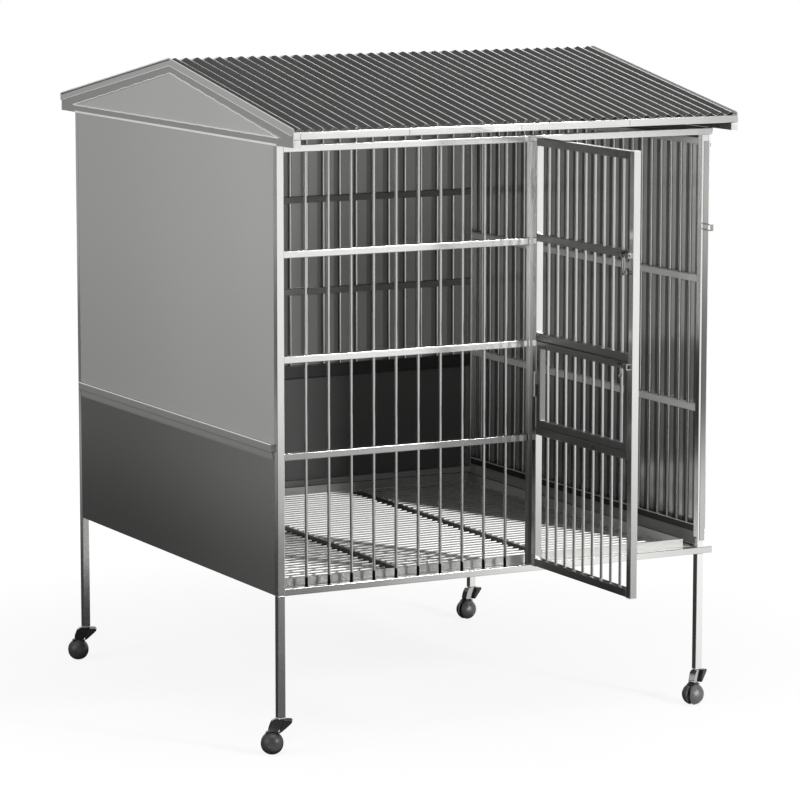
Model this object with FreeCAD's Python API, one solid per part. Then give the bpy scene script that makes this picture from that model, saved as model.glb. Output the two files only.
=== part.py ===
import FreeCAD, Part
import math
import os

V = FreeCAD.Vector

# Body of the cage
width = 1276.0
depth = 1294.0
post = 20.0
rail = 18.0
wall = 1.2
sheet = 1.2
bar_r = 4.0
bar_fit = 0.05
foot_z = 97.0
sill_z = 414.0
head_z = 1565.0
header_stub = 10.5
sill_stub = 25.0

# Fixed front panel
mullion_x = 93.0
front_rail_drops = (267.0, 535.0, 784.0)
front_bars_n = 10

# Solid side and rear walls
seam_rise = 372.0
seam_drop = 41.0
seam_lip = 20.0
seam_proud = 8.0
band_proud = 2.0
rear_bars_n = 22
rear_seam_h = 36.0
rear_foot_rise = 34.0

# Barred right wall
right_rail_drops = (396.0, 746.0)
right_foot_rise = 59.0
right_bars_n = 24
pan_t = 5.0
pan_drop = 9.0

# Floor
tray_inset = 40.0
tray_t = 1.5
tray_flange = 12.5
tray_lip = 19.0
grid_seat = 10.0
flange_t = 2.0
grid_t = 4.0
grid_wire = 4.0
grid_pitch = 25.0
grid_cross = 100.0
grid_gap = 1.0
beam_x = 220.0
beam_w = 20.0

# Roof
roof_tube = 20.0
overhang = 95.6
roof_right = 29.0
roof_rise = 136.0
rake_h = 30.0
rake_back = 5.0
drip = 6.0
wave_pitch = 32.5
wave_h = 8.0
wave_points = 4
roof_t = 0.8
trim_h = 20.0
trim_t = 1.5
trim_gap = 0.3
gable_recess = 2.0

# Door, drawn closed and then swung open
door_angle = 90.0
door_tube = 20.0
door_gap = 2.0
door_lap = 2.0
door_foot_gap = 2.0
door_head_gap = 5.0
door_rail_drops = (248.0, 507.0, 755.5)
door_bars_n = 9

# Door hinges
hinge_r = 6.0
hinge_pin_r = 3.0
hinge_half = 37.5
hinge_fit = 0.05
hinge_float = 0.2
hinge_inset = 2.5
hinge_leaf = 10.0
hinge_stand = 0.5
hinge_from_end = 123.0

# Feed hatch
hatch_tube = 18.0
hatch_gap = 2.0
hatch_hinge_r = 5.0
hatch_pin_r = 2.5
hatch_hinge_half = 33.0
hatch_stand = 0.5
hatch_leaf = 9.0

# Slide bolts
bolt_r = 4.0
bolt_stand = 8.0
bolt_guide = 8.0
bolt_reach = 62.0
bolt_travel = 18.0
bolt_tip = 2.0
bolt_arm_r = 2.5
bolt_arm_drop = 45.0
bolt_arm_back = 30.0
knob_r = 7.0
hatch_bolt_r = 3.0
hatch_bolt_stand = 6.0
hatch_bolt_guide = 6.0
hatch_bolt_reach = 50.0
hatch_bolt_travel = 14.0
hatch_bolt_tip = 4.0
hatch_arm_r = 2.0
hatch_arm_drop = 27.0
hatch_arm_back = 26.0
hatch_knob_r = 5.0
bolt_fit = 0.05
guide_wall = 3.0
guide_margin = 1.0
staple_t = 3.0
staple_w = 8.0
staple_clear = 2.0
staple_offset = 4.0
hatch_staple_offset = 14.0

# Bolts through the right posts and plugs in the open tube ends
dome_r = 9.0
dome_h = 8.0
shank_r = 4.0
shank_in = 12.0
dome_top_drop = 46.0
dome_low_rise = 38.0
plug_flange = 2.0
plug_depth = 14.0
plug_fit = 0.1

# Castors
ball_r = 30.0
ball_slot = 11.0
axle_r = 5.0
axle_half = 21.0
axle_fit = 0.05
press_fit = 0.02
trail = 22.0
stem_r = 5.0
stem_fit = 0.05
socket_flange = 2.0
socket_depth = 28.0
stem_depth = 24.0
swivel_float = 0.2
horn_r = 9.5
horn_neck = 11.0
horn_half = 8.0
horn_shoulder = 2.0
horn_bite = 1.0
horn_trim = 0.5
hood_gap = 1.5
hood_t = 3.5
hood_half = 14.0
hood_front_slope = 0.3
hood_rear_slope = 0.5
web_half = 4.0
boss_r = 9.0
pedal_half = 8.0
pedal_gap = 1.0
pedal_reach = 37.0
pedal_drop = 3.0
pedal_tip_drop = 8.0
pedal_bevel = 5.0
pedal_toe = 2.0
pedal_pin_r = 2.0
pedal_pin_fit = 0.05
pedal_lug_half = 3.0
pedal_lug_r = 4.0
pedal_lug_gap = 0.4
pedal_lug_cut = 1.5
pedal_slot_room = 1.5
pedal_slot_head = 3.0
castor_turns = {"front_left": 152.0, "rear_left": 158.0, "front_right": 212.0, "rear_right": 201.0}

# Levels and edges that follow from the sizes above
half_w = width / 2
half_d = depth / 2
sill_top = sill_z + rail
head_bot = head_z - rail
front_rail_tops = [head_z - drop for drop in front_rail_drops]
right_rail_tops = [head_z - drop for drop in right_rail_drops]
right_foot_top = sill_top + right_foot_rise
rear_foot_top = sill_top + rear_foot_rise
seam_top = sill_top + seam_rise
grid_seat_z = sill_z + grid_seat
dome_top_z = head_z - dome_top_drop
dome_low_z = sill_top + dome_low_rise
inner_x = half_w - post
inner_y = half_d - post
front_y = -half_d
rear_rail_y = half_d - sheet - rail
left_rail_x = -half_w + sheet
right_rail_x = half_w - rail
header_x1 = half_w + header_stub
sill_x1 = half_w + sill_stub
seam_bot = seam_top - seam_drop
tray_x = half_w - tray_inset
tray_y = half_d - tray_inset
eave_y = half_d + overhang
end_top = head_z + roof_tube
eave_top = end_top + roof_tube
ridge_z = eave_top + roof_rise
pitch_tan = roof_rise / eave_y
pitch = math.atan(pitch_tan)
roof_x0 = -half_w
roof_x1 = half_w + roof_right
rake_x1 = roof_x1 - rake_back
hinge_x = mullion_x + post - hinge_inset
hinge_y = front_y - hinge_r - hinge_stand
door_x0 = hinge_x + hinge_r + hinge_stand
door_x1 = inner_x + door_lap
door_bottom = sill_top + door_foot_gap
door_top = head_z - door_head_gap
door_rail2_top, door_rail3_top, door_rail4_top = [door_top - drop for drop in door_rail_drops]
hinge_zs = (door_top - hinge_from_end, door_bottom + hinge_from_end)
door_y0 = front_y - door_gap - door_tube
bolt_z = door_rail2_top - door_tube / 2
hatch_x0 = door_x0 + door_tube + hatch_gap
hatch_x1 = door_x1 - door_tube - hatch_gap
hatch_top = door_rail3_top - door_tube - hatch_gap
hatch_bot = door_rail4_top + hatch_gap
hatch_mid_z = (hatch_top + hatch_bot) / 2
hatch_hinge_x = hatch_x0 - hatch_gap / 2
hatch_hinge_y = door_y0 - hatch_hinge_r - hatch_stand
hatch_bolt_z = hatch_top - hatch_tube / 2
ball_z = math.sqrt(ball_r ** 2 - (ball_slot / 2) ** 2)
horn_base_z = ball_z + ball_r + hood_gap + horn_bite
pedal_pin_z = horn_base_z
pedal_tip_z = horn_base_z - pedal_tip_drop

nodes = {}


def box(x0, x1, y0, y1, z0, z1):
    """Block between two corners."""
    return Part.makeBox(x1 - x0, y1 - y0, z1 - z0, V(x0, y0, z0))


def tube(x0, x1, y0, y1, z0, z1, along):
    """Thin-walled rectangular tube, open at both ends of the named direction."""
    lo = [x0 + wall, y0 + wall, z0 + wall]
    hi = [x1 - wall, y1 - wall, z1 - wall]
    i = "xyz".index(along)
    lo[i] = (x0, y0, z0)[i] - 1.0
    hi[i] = (x1, y1, z1)[i] + 1.0
    return box(x0, x1, y0, y1, z0, z1).cut(box(lo[0], hi[0], lo[1], hi[1], lo[2], hi[2]))


def rod(x, y, z, length, r, along="z"):
    """Round rod starting at a point and running in the positive direction."""
    way = {"x": V(1, 0, 0), "y": V(0, 1, 0), "z": V(0, 0, 1)}[along]
    return Part.makeCylinder(r, length, V(x, y, z), way)


def plate(points, way):
    """Flat outline extruded by a vector."""
    wire = Part.makePolygon([V(*p) for p in points] + [V(*points[0])])
    return Part.Face(wire).extrude(V(*way))


def spread(start, end, count):
    """Evenly spaced positions strictly between two edges."""
    step = (end - start) / (count + 1)
    return [start + step * (i + 1) for i in range(count)]


def upright_bars(places, z0, z1):
    """Round upright bars at the given plan positions."""
    return [rod(x, y, z0, z1 - z0, bar_r) for x, y in places]


def pierced(solid, places, z0, z1):
    """Tube drilled for every upright bar that passes through it."""
    drills = [rod(x, y, z0 - 1.0, z1 - z0 + 2.0, bar_r + bar_fit) for x, y in places]
    return solid.cut(Part.makeCompound(drills))


def plug(end, along, sign, w, h):
    """Tube plug: a flange on the tube end and a stub inside, outward along the sign."""
    across = [w / 2, h / 2]
    inner = [w / 2 - wall - plug_fit, h / 2 - wall - plug_fit]
    flange = sorted((0.0, sign * plug_flange))
    stub = sorted((0.0, -sign * plug_depth))

    def piece(span, half):
        ranges = {"x": [None] * 2, "y": [None] * 2, "z": [None] * 2}
        ranges[along] = [end["xyz".index(along)] + s for s in span]
        for axis, size in zip([a for a in "xyz" if a != along], half):
            mid = end["xyz".index(axis)]
            ranges[axis] = [mid - size, mid + size]
        return box(*ranges["x"], *ranges["y"], *ranges["z"])

    return piece(flange, across).fuse(piece(stub, inner)).removeSplitter()


def posts_and_front():
    """Posts, header, sill, mullion, cross rails and bars of the front frame."""
    for side, y0 in (("front", -half_d), ("rear", inner_y)):
        y1 = y0 + post
        nodes["post_%s_left" % side] = tube(-half_w, -inner_x, y0, y1, foot_z, head_z, "z")
        upper = tube(inner_x, half_w, y0, y1, sill_top, head_bot, "z")
        lower = tube(inner_x, half_w, y0, y1, foot_z, sill_z, "z")
        mid_y = y0 + post / 2
        for z in (dome_top_z, dome_low_z):
            upper = upper.cut(rod(half_w - 2 * wall, mid_y, z, 4 * wall, shank_r + plug_fit, "x"))
        nodes["post_%s_right" % side] = Part.makeCompound([upper, lower])
    y1 = front_y + rail
    nodes["front_header_rail"] = tube(-inner_x, header_x1, front_y, y1, head_bot, head_z, "x")
    nodes["front_sill_rail"] = tube(-inner_x, sill_x1, front_y, y1, sill_z, sill_top, "x")
    nodes["hinge_mullion"] = tube(mullion_x, mullion_x + post, front_y, y1, sill_top, head_bot, "z")
    mid_y = front_y + rail / 2
    places = [(x, mid_y) for x in spread(-inner_x, mullion_x, front_bars_n)]
    rails = []
    for top in front_rail_tops:
        cross = tube(-inner_x, mullion_x, front_y, y1, top - rail, top, "x")
        rails.append(pierced(cross, places, top - rail, top))
    nodes["front_cross_rails"] = Part.makeCompound(rails)
    nodes["front_bars"] = Part.makeCompound(upright_bars(places, sill_top, head_bot))


def rear_wall():
    """Rear rails and bars, the seam rail and the two outer sheets."""
    y0 = rear_rail_y
    y1 = y0 + rail
    places = [(x, y0 + rail / 2) for x in spread(-inner_x, inner_x, rear_bars_n)]
    rails = [tube(-inner_x, header_x1, y0, y1, head_bot, head_z, "x"),
             tube(-inner_x, sill_x1, y0, y1, sill_z, sill_top, "x"),
             tube(-inner_x, inner_x, y0, y1, rear_foot_top - rail, rear_foot_top, "x")]
    for top in front_rail_tops[:2]:
        cross = tube(-inner_x, inner_x, y0, y1, top - rail, top, "x")
        rails.append(pierced(cross, places, top - rail, top))
    nodes["rear_rails"] = Part.makeCompound(rails)
    nodes["rear_seam_rail"] = tube(-inner_x, inner_x, y0, y1, seam_top - rear_seam_h, seam_top, "x")
    nodes["rear_bars"] = Part.makeCompound(upright_bars(places, seam_top, head_bot))
    nodes["rear_upper_sheet"] = box(-inner_x, inner_x, y1, half_d, seam_top, head_z)
    nodes["rear_lower_sheet"] = box(-inner_x, inner_x, y1, half_d, sill_z, seam_top)


def left_wall():
    """Left sheets with the proud seam rail between them and the rails behind."""
    x0 = left_rail_x
    x1 = x0 + rail
    mid = seam_bot + seam_drop / 2
    levels = ((head_bot, head_z), (mid - rail / 2, mid + rail / 2), (sill_z, sill_top))
    rails = [tube(x0, x1, -inner_y, inner_y, z0, z1, "y") for z0, z1 in levels]
    nodes["left_rails"] = Part.makeCompound(rails)
    nodes["left_upper_sheet"] = box(-half_w, x0, -inner_y, inner_y, seam_top, head_z)
    nodes["left_lower_sheet"] = box(-half_w, x0, -inner_y, inner_y, sill_z, seam_bot)
    lip_z = seam_top - seam_lip
    section = [(x0, -inner_y, seam_bot), (-half_w - band_proud, -inner_y, seam_bot),
               (-half_w - band_proud, -inner_y, lip_z), (-half_w - seam_proud, -inner_y, lip_z),
               (-half_w - seam_proud, -inner_y, seam_top), (x0, -inner_y, seam_top)]
    nodes["left_seam_rail"] = plate(section, (0, 2 * inner_y, 0))


def right_wall():
    """Right rails and bars and the folded outer pan bolted over the posts."""
    x0 = right_rail_x
    places = [(x0 + rail / 2, y) for y in spread(-inner_y, inner_y, right_bars_n)]
    rails = [tube(x0, half_w, front_y + rail, rear_rail_y, head_bot, head_z, "y"),
             tube(x0, half_w, -inner_y, inner_y, right_foot_top - rail, right_foot_top, "y"),
             tube(x0, half_w, front_y + rail, rear_rail_y, sill_z, sill_top, "y")]
    for top in right_rail_tops:
        cross = tube(x0, half_w, -inner_y, inner_y, top - rail, top, "y")
        rails.append(pierced(cross, places, top - rail, top))
    nodes["right_rails"] = Part.makeCompound(rails)
    nodes["right_bars"] = Part.makeCompound(upright_bars(places, right_foot_top, head_bot))
    low = right_foot_top - pan_drop
    pan = box(half_w, half_w + pan_t, -half_d, half_d, low, head_bot)
    hollow = box(half_w - 1.0, half_w + pan_t - sheet, -half_d + sheet, half_d - sheet,
                 low + sheet, head_bot - sheet)
    pan = pan.cut(hollow)
    domes = []
    for y in (-half_d + post / 2, half_d - post / 2):
        pan = pan.cut(rod(half_w + 1.0, y, dome_top_z, pan_t, shank_r + plug_fit, "x"))
        for z, x in ((dome_top_z, half_w + pan_t), (dome_low_z, half_w)):
            cap_r = (dome_r ** 2 + dome_h ** 2) / (2 * dome_h)
            cap = Part.makeSphere(cap_r, V(x + dome_h - cap_r, y, z))
            cap = cap.common(box(x, x + dome_h + 1.0, y - 2 * dome_r, y + 2 * dome_r,
                                 z - 2 * dome_r, z + 2 * dome_r))
            shank = rod(half_w - shank_in, y, z, x - half_w + shank_in + 1.0, shank_r, "x")
            domes.append(cap.fuse(shank).removeSplitter())
    nodes["right_pan"] = pan
    nodes["post_bolts"] = Part.makeCompound(domes)


def floor():
    """Ledgers, upstanding lip, cross beams and three wire grids."""
    inner_ledge = left_rail_x + rail
    ledges = [tube(-inner_x, inner_x, front_y + rail, -tray_y, sill_z, sill_top, "x"),
              tube(-inner_x, inner_x, tray_y, rear_rail_y, sill_z, sill_top, "x"),
              tube(inner_ledge, -tray_x, -tray_y, tray_y, sill_z, sill_top, "y"),
              tube(tray_x, right_rail_x, -tray_y, tray_y, sill_z, sill_top, "y")]
    nodes["floor_ledgers"] = Part.makeCompound(ledges)
    lip_z = sill_top + tray_lip
    flange_z = grid_seat_z - flange_t
    in_x = tray_x - tray_t
    in_y = tray_y - tray_t
    seat_y = in_y - tray_flange
    seat_x = in_x - tray_flange
    lips = []
    for s in (-1, 1):
        y = sorted((s * tray_y, s * in_y))
        f = sorted((s * in_y, s * seat_y))
        lips.append(box(-tray_x, tray_x, y[0], y[1], sill_z, lip_z).fuse(
            box(-in_x, in_x, f[0], f[1], flange_z, grid_seat_z)).removeSplitter())
        x = sorted((s * tray_x, s * in_x))
        g = sorted((s * in_x, s * seat_x))
        lips.append(box(x[0], x[1], -in_y, in_y, sill_z, lip_z).fuse(
            box(g[0], g[1], -seat_y, seat_y, flange_z, grid_seat_z)).removeSplitter())
    nodes["floor_lip"] = Part.makeCompound(lips)
    beams = []
    for x in (-beam_x, beam_x):
        top = box(x - beam_w / 2, x + beam_w / 2, -seat_y, seat_y, sill_z, grid_seat_z)
        low = box(x - beam_w / 2, x + beam_w / 2, -in_y, in_y, sill_z, flange_z)
        beams.append(top.fuse(low).removeSplitter())
    nodes["floor_beams"] = Part.makeCompound(beams)
    edges = (-in_x, -beam_x, beam_x, in_x)
    grids = [wire_grid(a + grid_gap, b - grid_gap, -in_y + grid_gap, in_y - grid_gap)
             for a, b in zip(edges, edges[1:])]
    nodes["floor_grids"] = Part.makeCompound(grids)


def wire_grid(x0, x1, y0, y1):
    """Flat welded grid: a rectangle with even rows of rectangular meshes."""
    def meshes(a, b, pitch_to):
        count = int(round((b - a - grid_wire) / pitch_to))
        step = (b - a - grid_wire) / count
        return [(a + grid_wire + i * step, a + (i + 1) * step) for i in range(count)]

    def ring(xa, xb, ya, yb):
        corners = [V(xa, ya, grid_seat_z), V(xb, ya, grid_seat_z), V(xb, yb, grid_seat_z),
                   V(xa, yb, grid_seat_z), V(xa, ya, grid_seat_z)]
        return Part.makePolygon(corners)

    holes = [ring(xa, xb, ya, yb) for xa, xb in meshes(x0, x1, grid_cross)
             for ya, yb in meshes(y0, y1, grid_pitch)]
    return Part.Face([ring(x0, x1, y0, y1)] + holes).extrude(V(0, 0, grid_t))


def roof():
    """Base tubes, ridge beam, rake tubes, corrugated sheets, trims and gable sheets."""
    t = roof_tube
    base = [tube(roof_x0, roof_x0 + t, -eave_y, eave_y, head_z, end_top, "y"),
            tube(roof_x1 - t, roof_x1, -eave_y, eave_y, head_z, end_top, "y"),
            tube(roof_x0, roof_x1, -eave_y, -eave_y + t, end_top, eave_top, "x"),
            tube(roof_x0, roof_x1, eave_y - t, eave_y, end_top, eave_top, "x")]
    beam_top = ridge_z - t / 2 * pitch_tan
    base.append(tube(roof_x0 + t, rake_x1 - t, -t / 2, t / 2, beam_top - t, beam_top, "x"))
    nodes["roof_tubes"] = Part.makeCompound(base)
    rake_v = rake_h / math.cos(pitch)
    foot_y = (ridge_z - rake_v - end_top) / pitch_tan
    rakes = []
    trims = []
    for x0, x1, edge in ((roof_x0, roof_x0 + t, roof_x0 - trim_t), (rake_x1 - t, rake_x1, rake_x1)):
        for s in (-1, 1):
            rakes.append(rake_tube(x0, x1, s, rake_v, foot_y))
            trims.append(rake_trim(edge, s, edge > 0))
    nodes["rake_tubes"] = Part.makeCompound(rakes)
    nodes["rake_trims"] = Part.makeCompound(trims)
    nodes["roof_sheet_front"] = wavy_sheet(-1)
    nodes["roof_sheet_rear"] = wavy_sheet(1)
    panels = []
    for x in (roof_x0 + gable_recess, rake_x1 - gable_recess - sheet):
        corners = [(x, -foot_y, end_top), (x, foot_y, end_top), (x, 0.0, ridge_z - rake_v)]
        panels.append(plate(corners, (sheet, 0, 0)))
    nodes["gable_sheets"] = Part.makeCompound(panels)


def rake_tube(x0, x1, s, rake_v, foot_y):
    """Hollow sloping tube from the eave tube up to the ridge, cut level at its foot."""
    out_y = eave_y - roof_tube
    skin = wall / math.cos(pitch)
    outer = [(x0, s * out_y, end_top), (x0, s * out_y, ridge_z - out_y * pitch_tan),
             (x0, 0.0, ridge_z), (x0, 0.0, ridge_z - rake_v), (x0, s * foot_y, end_top)]
    far_y = out_y + 1.0
    low_y = (ridge_z - rake_v + skin - end_top - wall) / pitch_tan
    xi = x0 + wall
    core = [(xi, s * far_y, end_top + wall), (xi, s * far_y, ridge_z - skin - far_y * pitch_tan),
            (xi, -s * 1.0, ridge_z - skin + pitch_tan), (xi, -s * 1.0, ridge_z - rake_v + skin + pitch_tan),
            (xi, s * low_y, end_top + wall)]
    return plate(outer, (x1 - x0, 0, 0)).cut(plate(core, (x1 - x0 - 2 * wall, 0, 0)))


def rake_trim(edge, s, over_eave):
    """Upright strip that closes the open end of the corrugations on one slope, notched over an eave tube."""
    crest = ridge_z + (wave_h + roof_t) / math.cos(pitch)
    far_y = eave_y + drip
    fall = far_y * pitch_tan
    corners = [(edge, 0.0, crest), (edge, s * far_y, crest - fall),
               (edge, s * far_y, crest - fall - trim_h), (edge, 0.0, crest - trim_h)]
    strip = plate(corners, (trim_t, 0, 0))
    if over_eave:
        y = sorted((s * (eave_y - roof_tube - trim_gap), s * (far_y + 1.0)))
        strip = strip.cut(box(edge - 1.0, edge + trim_t + 1.0, y[0], y[1], end_top, eave_top + trim_gap))
    return strip


def wavy_sheet(s):
    """Corrugated sheet: a sine wave across the roof, extruded down one slope."""
    length = rake_x1 - roof_x0
    waves = int(round(length / wave_pitch))
    steps = waves * wave_points
    up = V(0, s * math.sin(pitch), math.cos(pitch))
    ridge = V(roof_x0, 0, ridge_z)
    low = []
    high = []
    for i in range(steps + 1):
        h = wave_h / 2 * (1 - math.cos(2 * math.pi * waves * i / steps))
        p = ridge + V(length * i / steps, 0, 0) + up * h
        low.append(p)
        high.append(p + up * roof_t)
    under = Part.BSplineCurve()
    under.interpolate(low)
    over = Part.BSplineCurve()
    over.interpolate(high)
    edges = [under.toShape(), Part.makeLine(low[-1], high[-1]), over.toShape(),
             Part.makeLine(high[0], low[0])]
    face = Part.Face(Part.Wire(Part.__sortEdges__(edges)))
    run = (eave_y + drip) / math.cos(pitch)
    return face.extrude(V(0, s * math.cos(pitch), -math.sin(pitch)) * run)


def small_frame_pieces():
    """Tube plugs, fixed hinge halves with their pins and the staple for the door bolt."""
    plugs = []
    header_mid = (head_bot + head_z) / 2
    sill_mid = (sill_z + sill_top) / 2
    for y in (front_y + rail / 2, rear_rail_y + rail / 2):
        plugs.append(plug((header_x1, y, header_mid), "x", 1, rail, rail))
        plugs.append(plug((sill_x1, y, sill_mid), "x", 1, rail, rail))
    t = roof_tube
    for s in (-1, 1):
        for x in (roof_x0 + t / 2, roof_x1 - t / 2):
            plugs.append(plug((x, s * eave_y, head_z + t / 2), "y", s, t, t))
        y = s * (eave_y - t / 2)
        plugs.append(plug((roof_x1, y, end_top + t / 2), "x", 1, t, t))
    nodes["tube_plugs"] = Part.makeCompound(plugs)
    halves = []
    for z in hinge_zs:
        low = z - hinge_half
        knuckle = rod(hinge_x, hinge_y, low, hinge_half - hinge_float / 2, hinge_r)
        leaf = box(hinge_x - hinge_leaf, hinge_x, hinge_y, front_y, low, z - hinge_float / 2)
        pin = rod(hinge_x, hinge_y, low, 2 * hinge_half - plug_flange, hinge_pin_r)
        halves.append(knuckle.fuse(leaf).fuse(pin).removeSplitter())
    nodes["door_hinge_fixed"] = Part.makeCompound(halves)
    y_out = door_y0 - bolt_stand - bolt_r - staple_clear
    x0 = door_x1 + staple_offset
    nodes["door_keeper"] = staple(x0, x0 + staple_w, front_y, y_out, bolt_z, bolt_r + staple_clear)


def staple(x0, x1, y_back, y_in, z, half):
    """U-shaped strip: two flat legs and a web in front, open to both sides."""
    legs = [box(x0, x1, y_in, y_back, z + half, z + half + staple_t),
            box(x0, x1, y_in, y_back, z - half - staple_t, z - half)]
    web = box(x0, x1, y_in - staple_t, y_in, z - half - staple_t, z + half + staple_t)
    return web.fuse(legs[0]).fuse(legs[1]).removeSplitter()


def slide_bolt(x_end, y_face, z, r, stand, reach, tip, arm_r, drop, back, ball):
    """Round bolt with a hanging arm and ball knob."""
    y = y_face - stand
    shaft = rod(x_end - reach, y, z, reach + tip, r, "x")
    arm = rod(x_end - back, y, z - drop, drop, arm_r)
    knob = Part.makeSphere(ball, V(x_end - back, y, z - drop))
    return shaft.fuse(arm).fuse(knob).removeSplitter()


def guide(x0, length, y_face, z, r, stand):
    """Block on the face with a hole for the bolt."""
    half = r + guide_wall
    block = box(x0, x0 + length, y_face - stand - half, y_face, z - half, z + half)
    return block.cut(rod(x0 - 1.0, y_face - stand, z, length + 2.0, r + bolt_fit, "x"))


def door():
    """Door frame, bars, hinge halves and bolt guides, drawn closed."""
    t = door_tube
    y0 = door_y0
    y1 = y0 + t
    stiles = [tube(x, x + t, y0, y1, door_bottom, door_top, "z") for x in (door_x0, door_x1 - t)]
    xa = door_x0 + t
    xb = door_x1 - t
    places = [(x, y0 + t / 2) for x in spread(xa, xb, door_bars_n)]
    second = tube(xa, xb, y0, y1, door_rail2_top - t, door_rail2_top, "x")
    rails = [tube(xa, xb, y0, y1, top - t, top, "x")
             for top in (door_top, door_rail3_top, door_rail4_top, door_bottom + t)]
    rails.append(pierced(second, places, door_rail2_top - t, door_rail2_top))
    upper = upright_bars(places, door_rail3_top, door_top - t)
    lower = upright_bars(places, door_bottom + t, door_rail4_top - t)
    halves = []
    for z in hinge_zs:
        low = z + hinge_float / 2
        knuckle = rod(hinge_x, hinge_y, low, hinge_half, hinge_r)
        leaf = box(hinge_x, door_x0, hinge_y - hinge_r / 2, hinge_y + hinge_r / 2, low, low + hinge_half)
        bore = rod(hinge_x, hinge_y, low - 1.0, hinge_half + 2.0, hinge_pin_r + hinge_fit)
        halves.append(knuckle.fuse(leaf).cut(bore).removeSplitter())
    plugs = [plug((x, y0 + t / 2, z), "z", s, t, t)
             for x in (door_x0 + t / 2, door_x1 - t / 2) for z, s in ((door_bottom, -1), (door_top, 1))]
    guides = [guide(x, bolt_guide, y0, bolt_z, bolt_r, bolt_stand)
              for x in (door_x1 - bolt_reach + bolt_travel + guide_margin,
                        door_x1 - bolt_guide - guide_margin)]
    x_staple = door_x1 - hatch_staple_offset
    y_in = y0 - hatch_bolt_stand - hatch_bolt_r - staple_clear
    keeper = [staple(x_staple, x_staple + staple_w, y0, y_in, hatch_bolt_z, hatch_bolt_r + staple_clear)]
    low = hatch_mid_z - hatch_hinge_half
    knuckle = rod(hatch_hinge_x, hatch_hinge_y, low, hatch_hinge_half - hinge_float / 2, hatch_hinge_r)
    leaf = box(hatch_hinge_x - hatch_leaf, hatch_hinge_x, hatch_hinge_y, y0, low,
               hatch_mid_z - hinge_float / 2)
    pin = rod(hatch_hinge_x, hatch_hinge_y, low, 2 * hatch_hinge_half - plug_flange, hatch_pin_r)
    halves.append(knuckle.fuse(leaf).fuse(pin).removeSplitter())
    return {"door_stiles": stiles, "door_rails": rails, "door_bars": upper + lower,
            "door_hinge_halves": halves, "door_plugs": plugs, "bolt_guides": guides, "hatch_keeper": keeper}


def hatch():
    """Feed hatch frame, bars, hinge half and bolt guides, drawn closed."""
    t = hatch_tube
    y0 = door_y0
    y1 = y0 + t
    frame = [tube(x, x + t, y0, y1, hatch_bot, hatch_top, "z") for x in (hatch_x0, hatch_x1 - t)]
    frame += [tube(hatch_x0 + t, hatch_x1 - t, y0, y1, z, z + t, "x") for z in (hatch_bot, hatch_top - t)]
    xs = spread(door_x0 + door_tube, door_x1 - door_tube, door_bars_n)
    bars = upright_bars([(x, y0 + t / 2) for x in xs], hatch_bot + t, hatch_top - t)
    low = hatch_mid_z + hinge_float / 2
    knuckle = rod(hatch_hinge_x, hatch_hinge_y, low, hatch_hinge_half, hatch_hinge_r)
    leaf = box(hatch_hinge_x, hatch_hinge_x + hatch_leaf, hatch_hinge_y, y0, low, low + hatch_hinge_half)
    bore = rod(hatch_hinge_x, hatch_hinge_y, low - 1.0, hatch_hinge_half + 2.0, hatch_pin_r + hinge_fit)
    fittings = [knuckle.fuse(leaf).cut(bore).removeSplitter()]
    for x in (hatch_x1 - hatch_bolt_reach + hatch_bolt_travel + guide_margin,
              hatch_x1 - hatch_bolt_guide - guide_margin):
        fittings.append(guide(x, hatch_bolt_guide, y0, hatch_bolt_z, hatch_bolt_r, hatch_bolt_stand))
    return {"hatch_frame": frame, "hatch_bars": bars, "hatch_fittings": fittings}


def swung(solids):
    """Swing closed-door solids open about the door hinge line."""
    group = Part.makeCompound(solids)
    group.rotate(V(hinge_x, hinge_y, 0), V(0, 0, 1), -door_angle)
    return group


def door_group():
    """Door, hatch and both slide bolts in the open position of the door."""
    pieces = door()
    pieces.update(hatch())
    pieces["door_bolt"] = [slide_bolt(door_x1, door_y0, bolt_z, bolt_r, bolt_stand, bolt_reach, bolt_tip,
                                      bolt_arm_r, bolt_arm_drop, bolt_arm_back, knob_r)]
    pieces["hatch_bolt"] = [slide_bolt(hatch_x1, door_y0, hatch_bolt_z, hatch_bolt_r, hatch_bolt_stand,
                                       hatch_bolt_reach, hatch_bolt_tip, hatch_arm_r, hatch_arm_drop,
                                       hatch_arm_back, hatch_knob_r)]
    for name, solids in pieces.items():
        nodes[name] = swung(solids)


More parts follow.
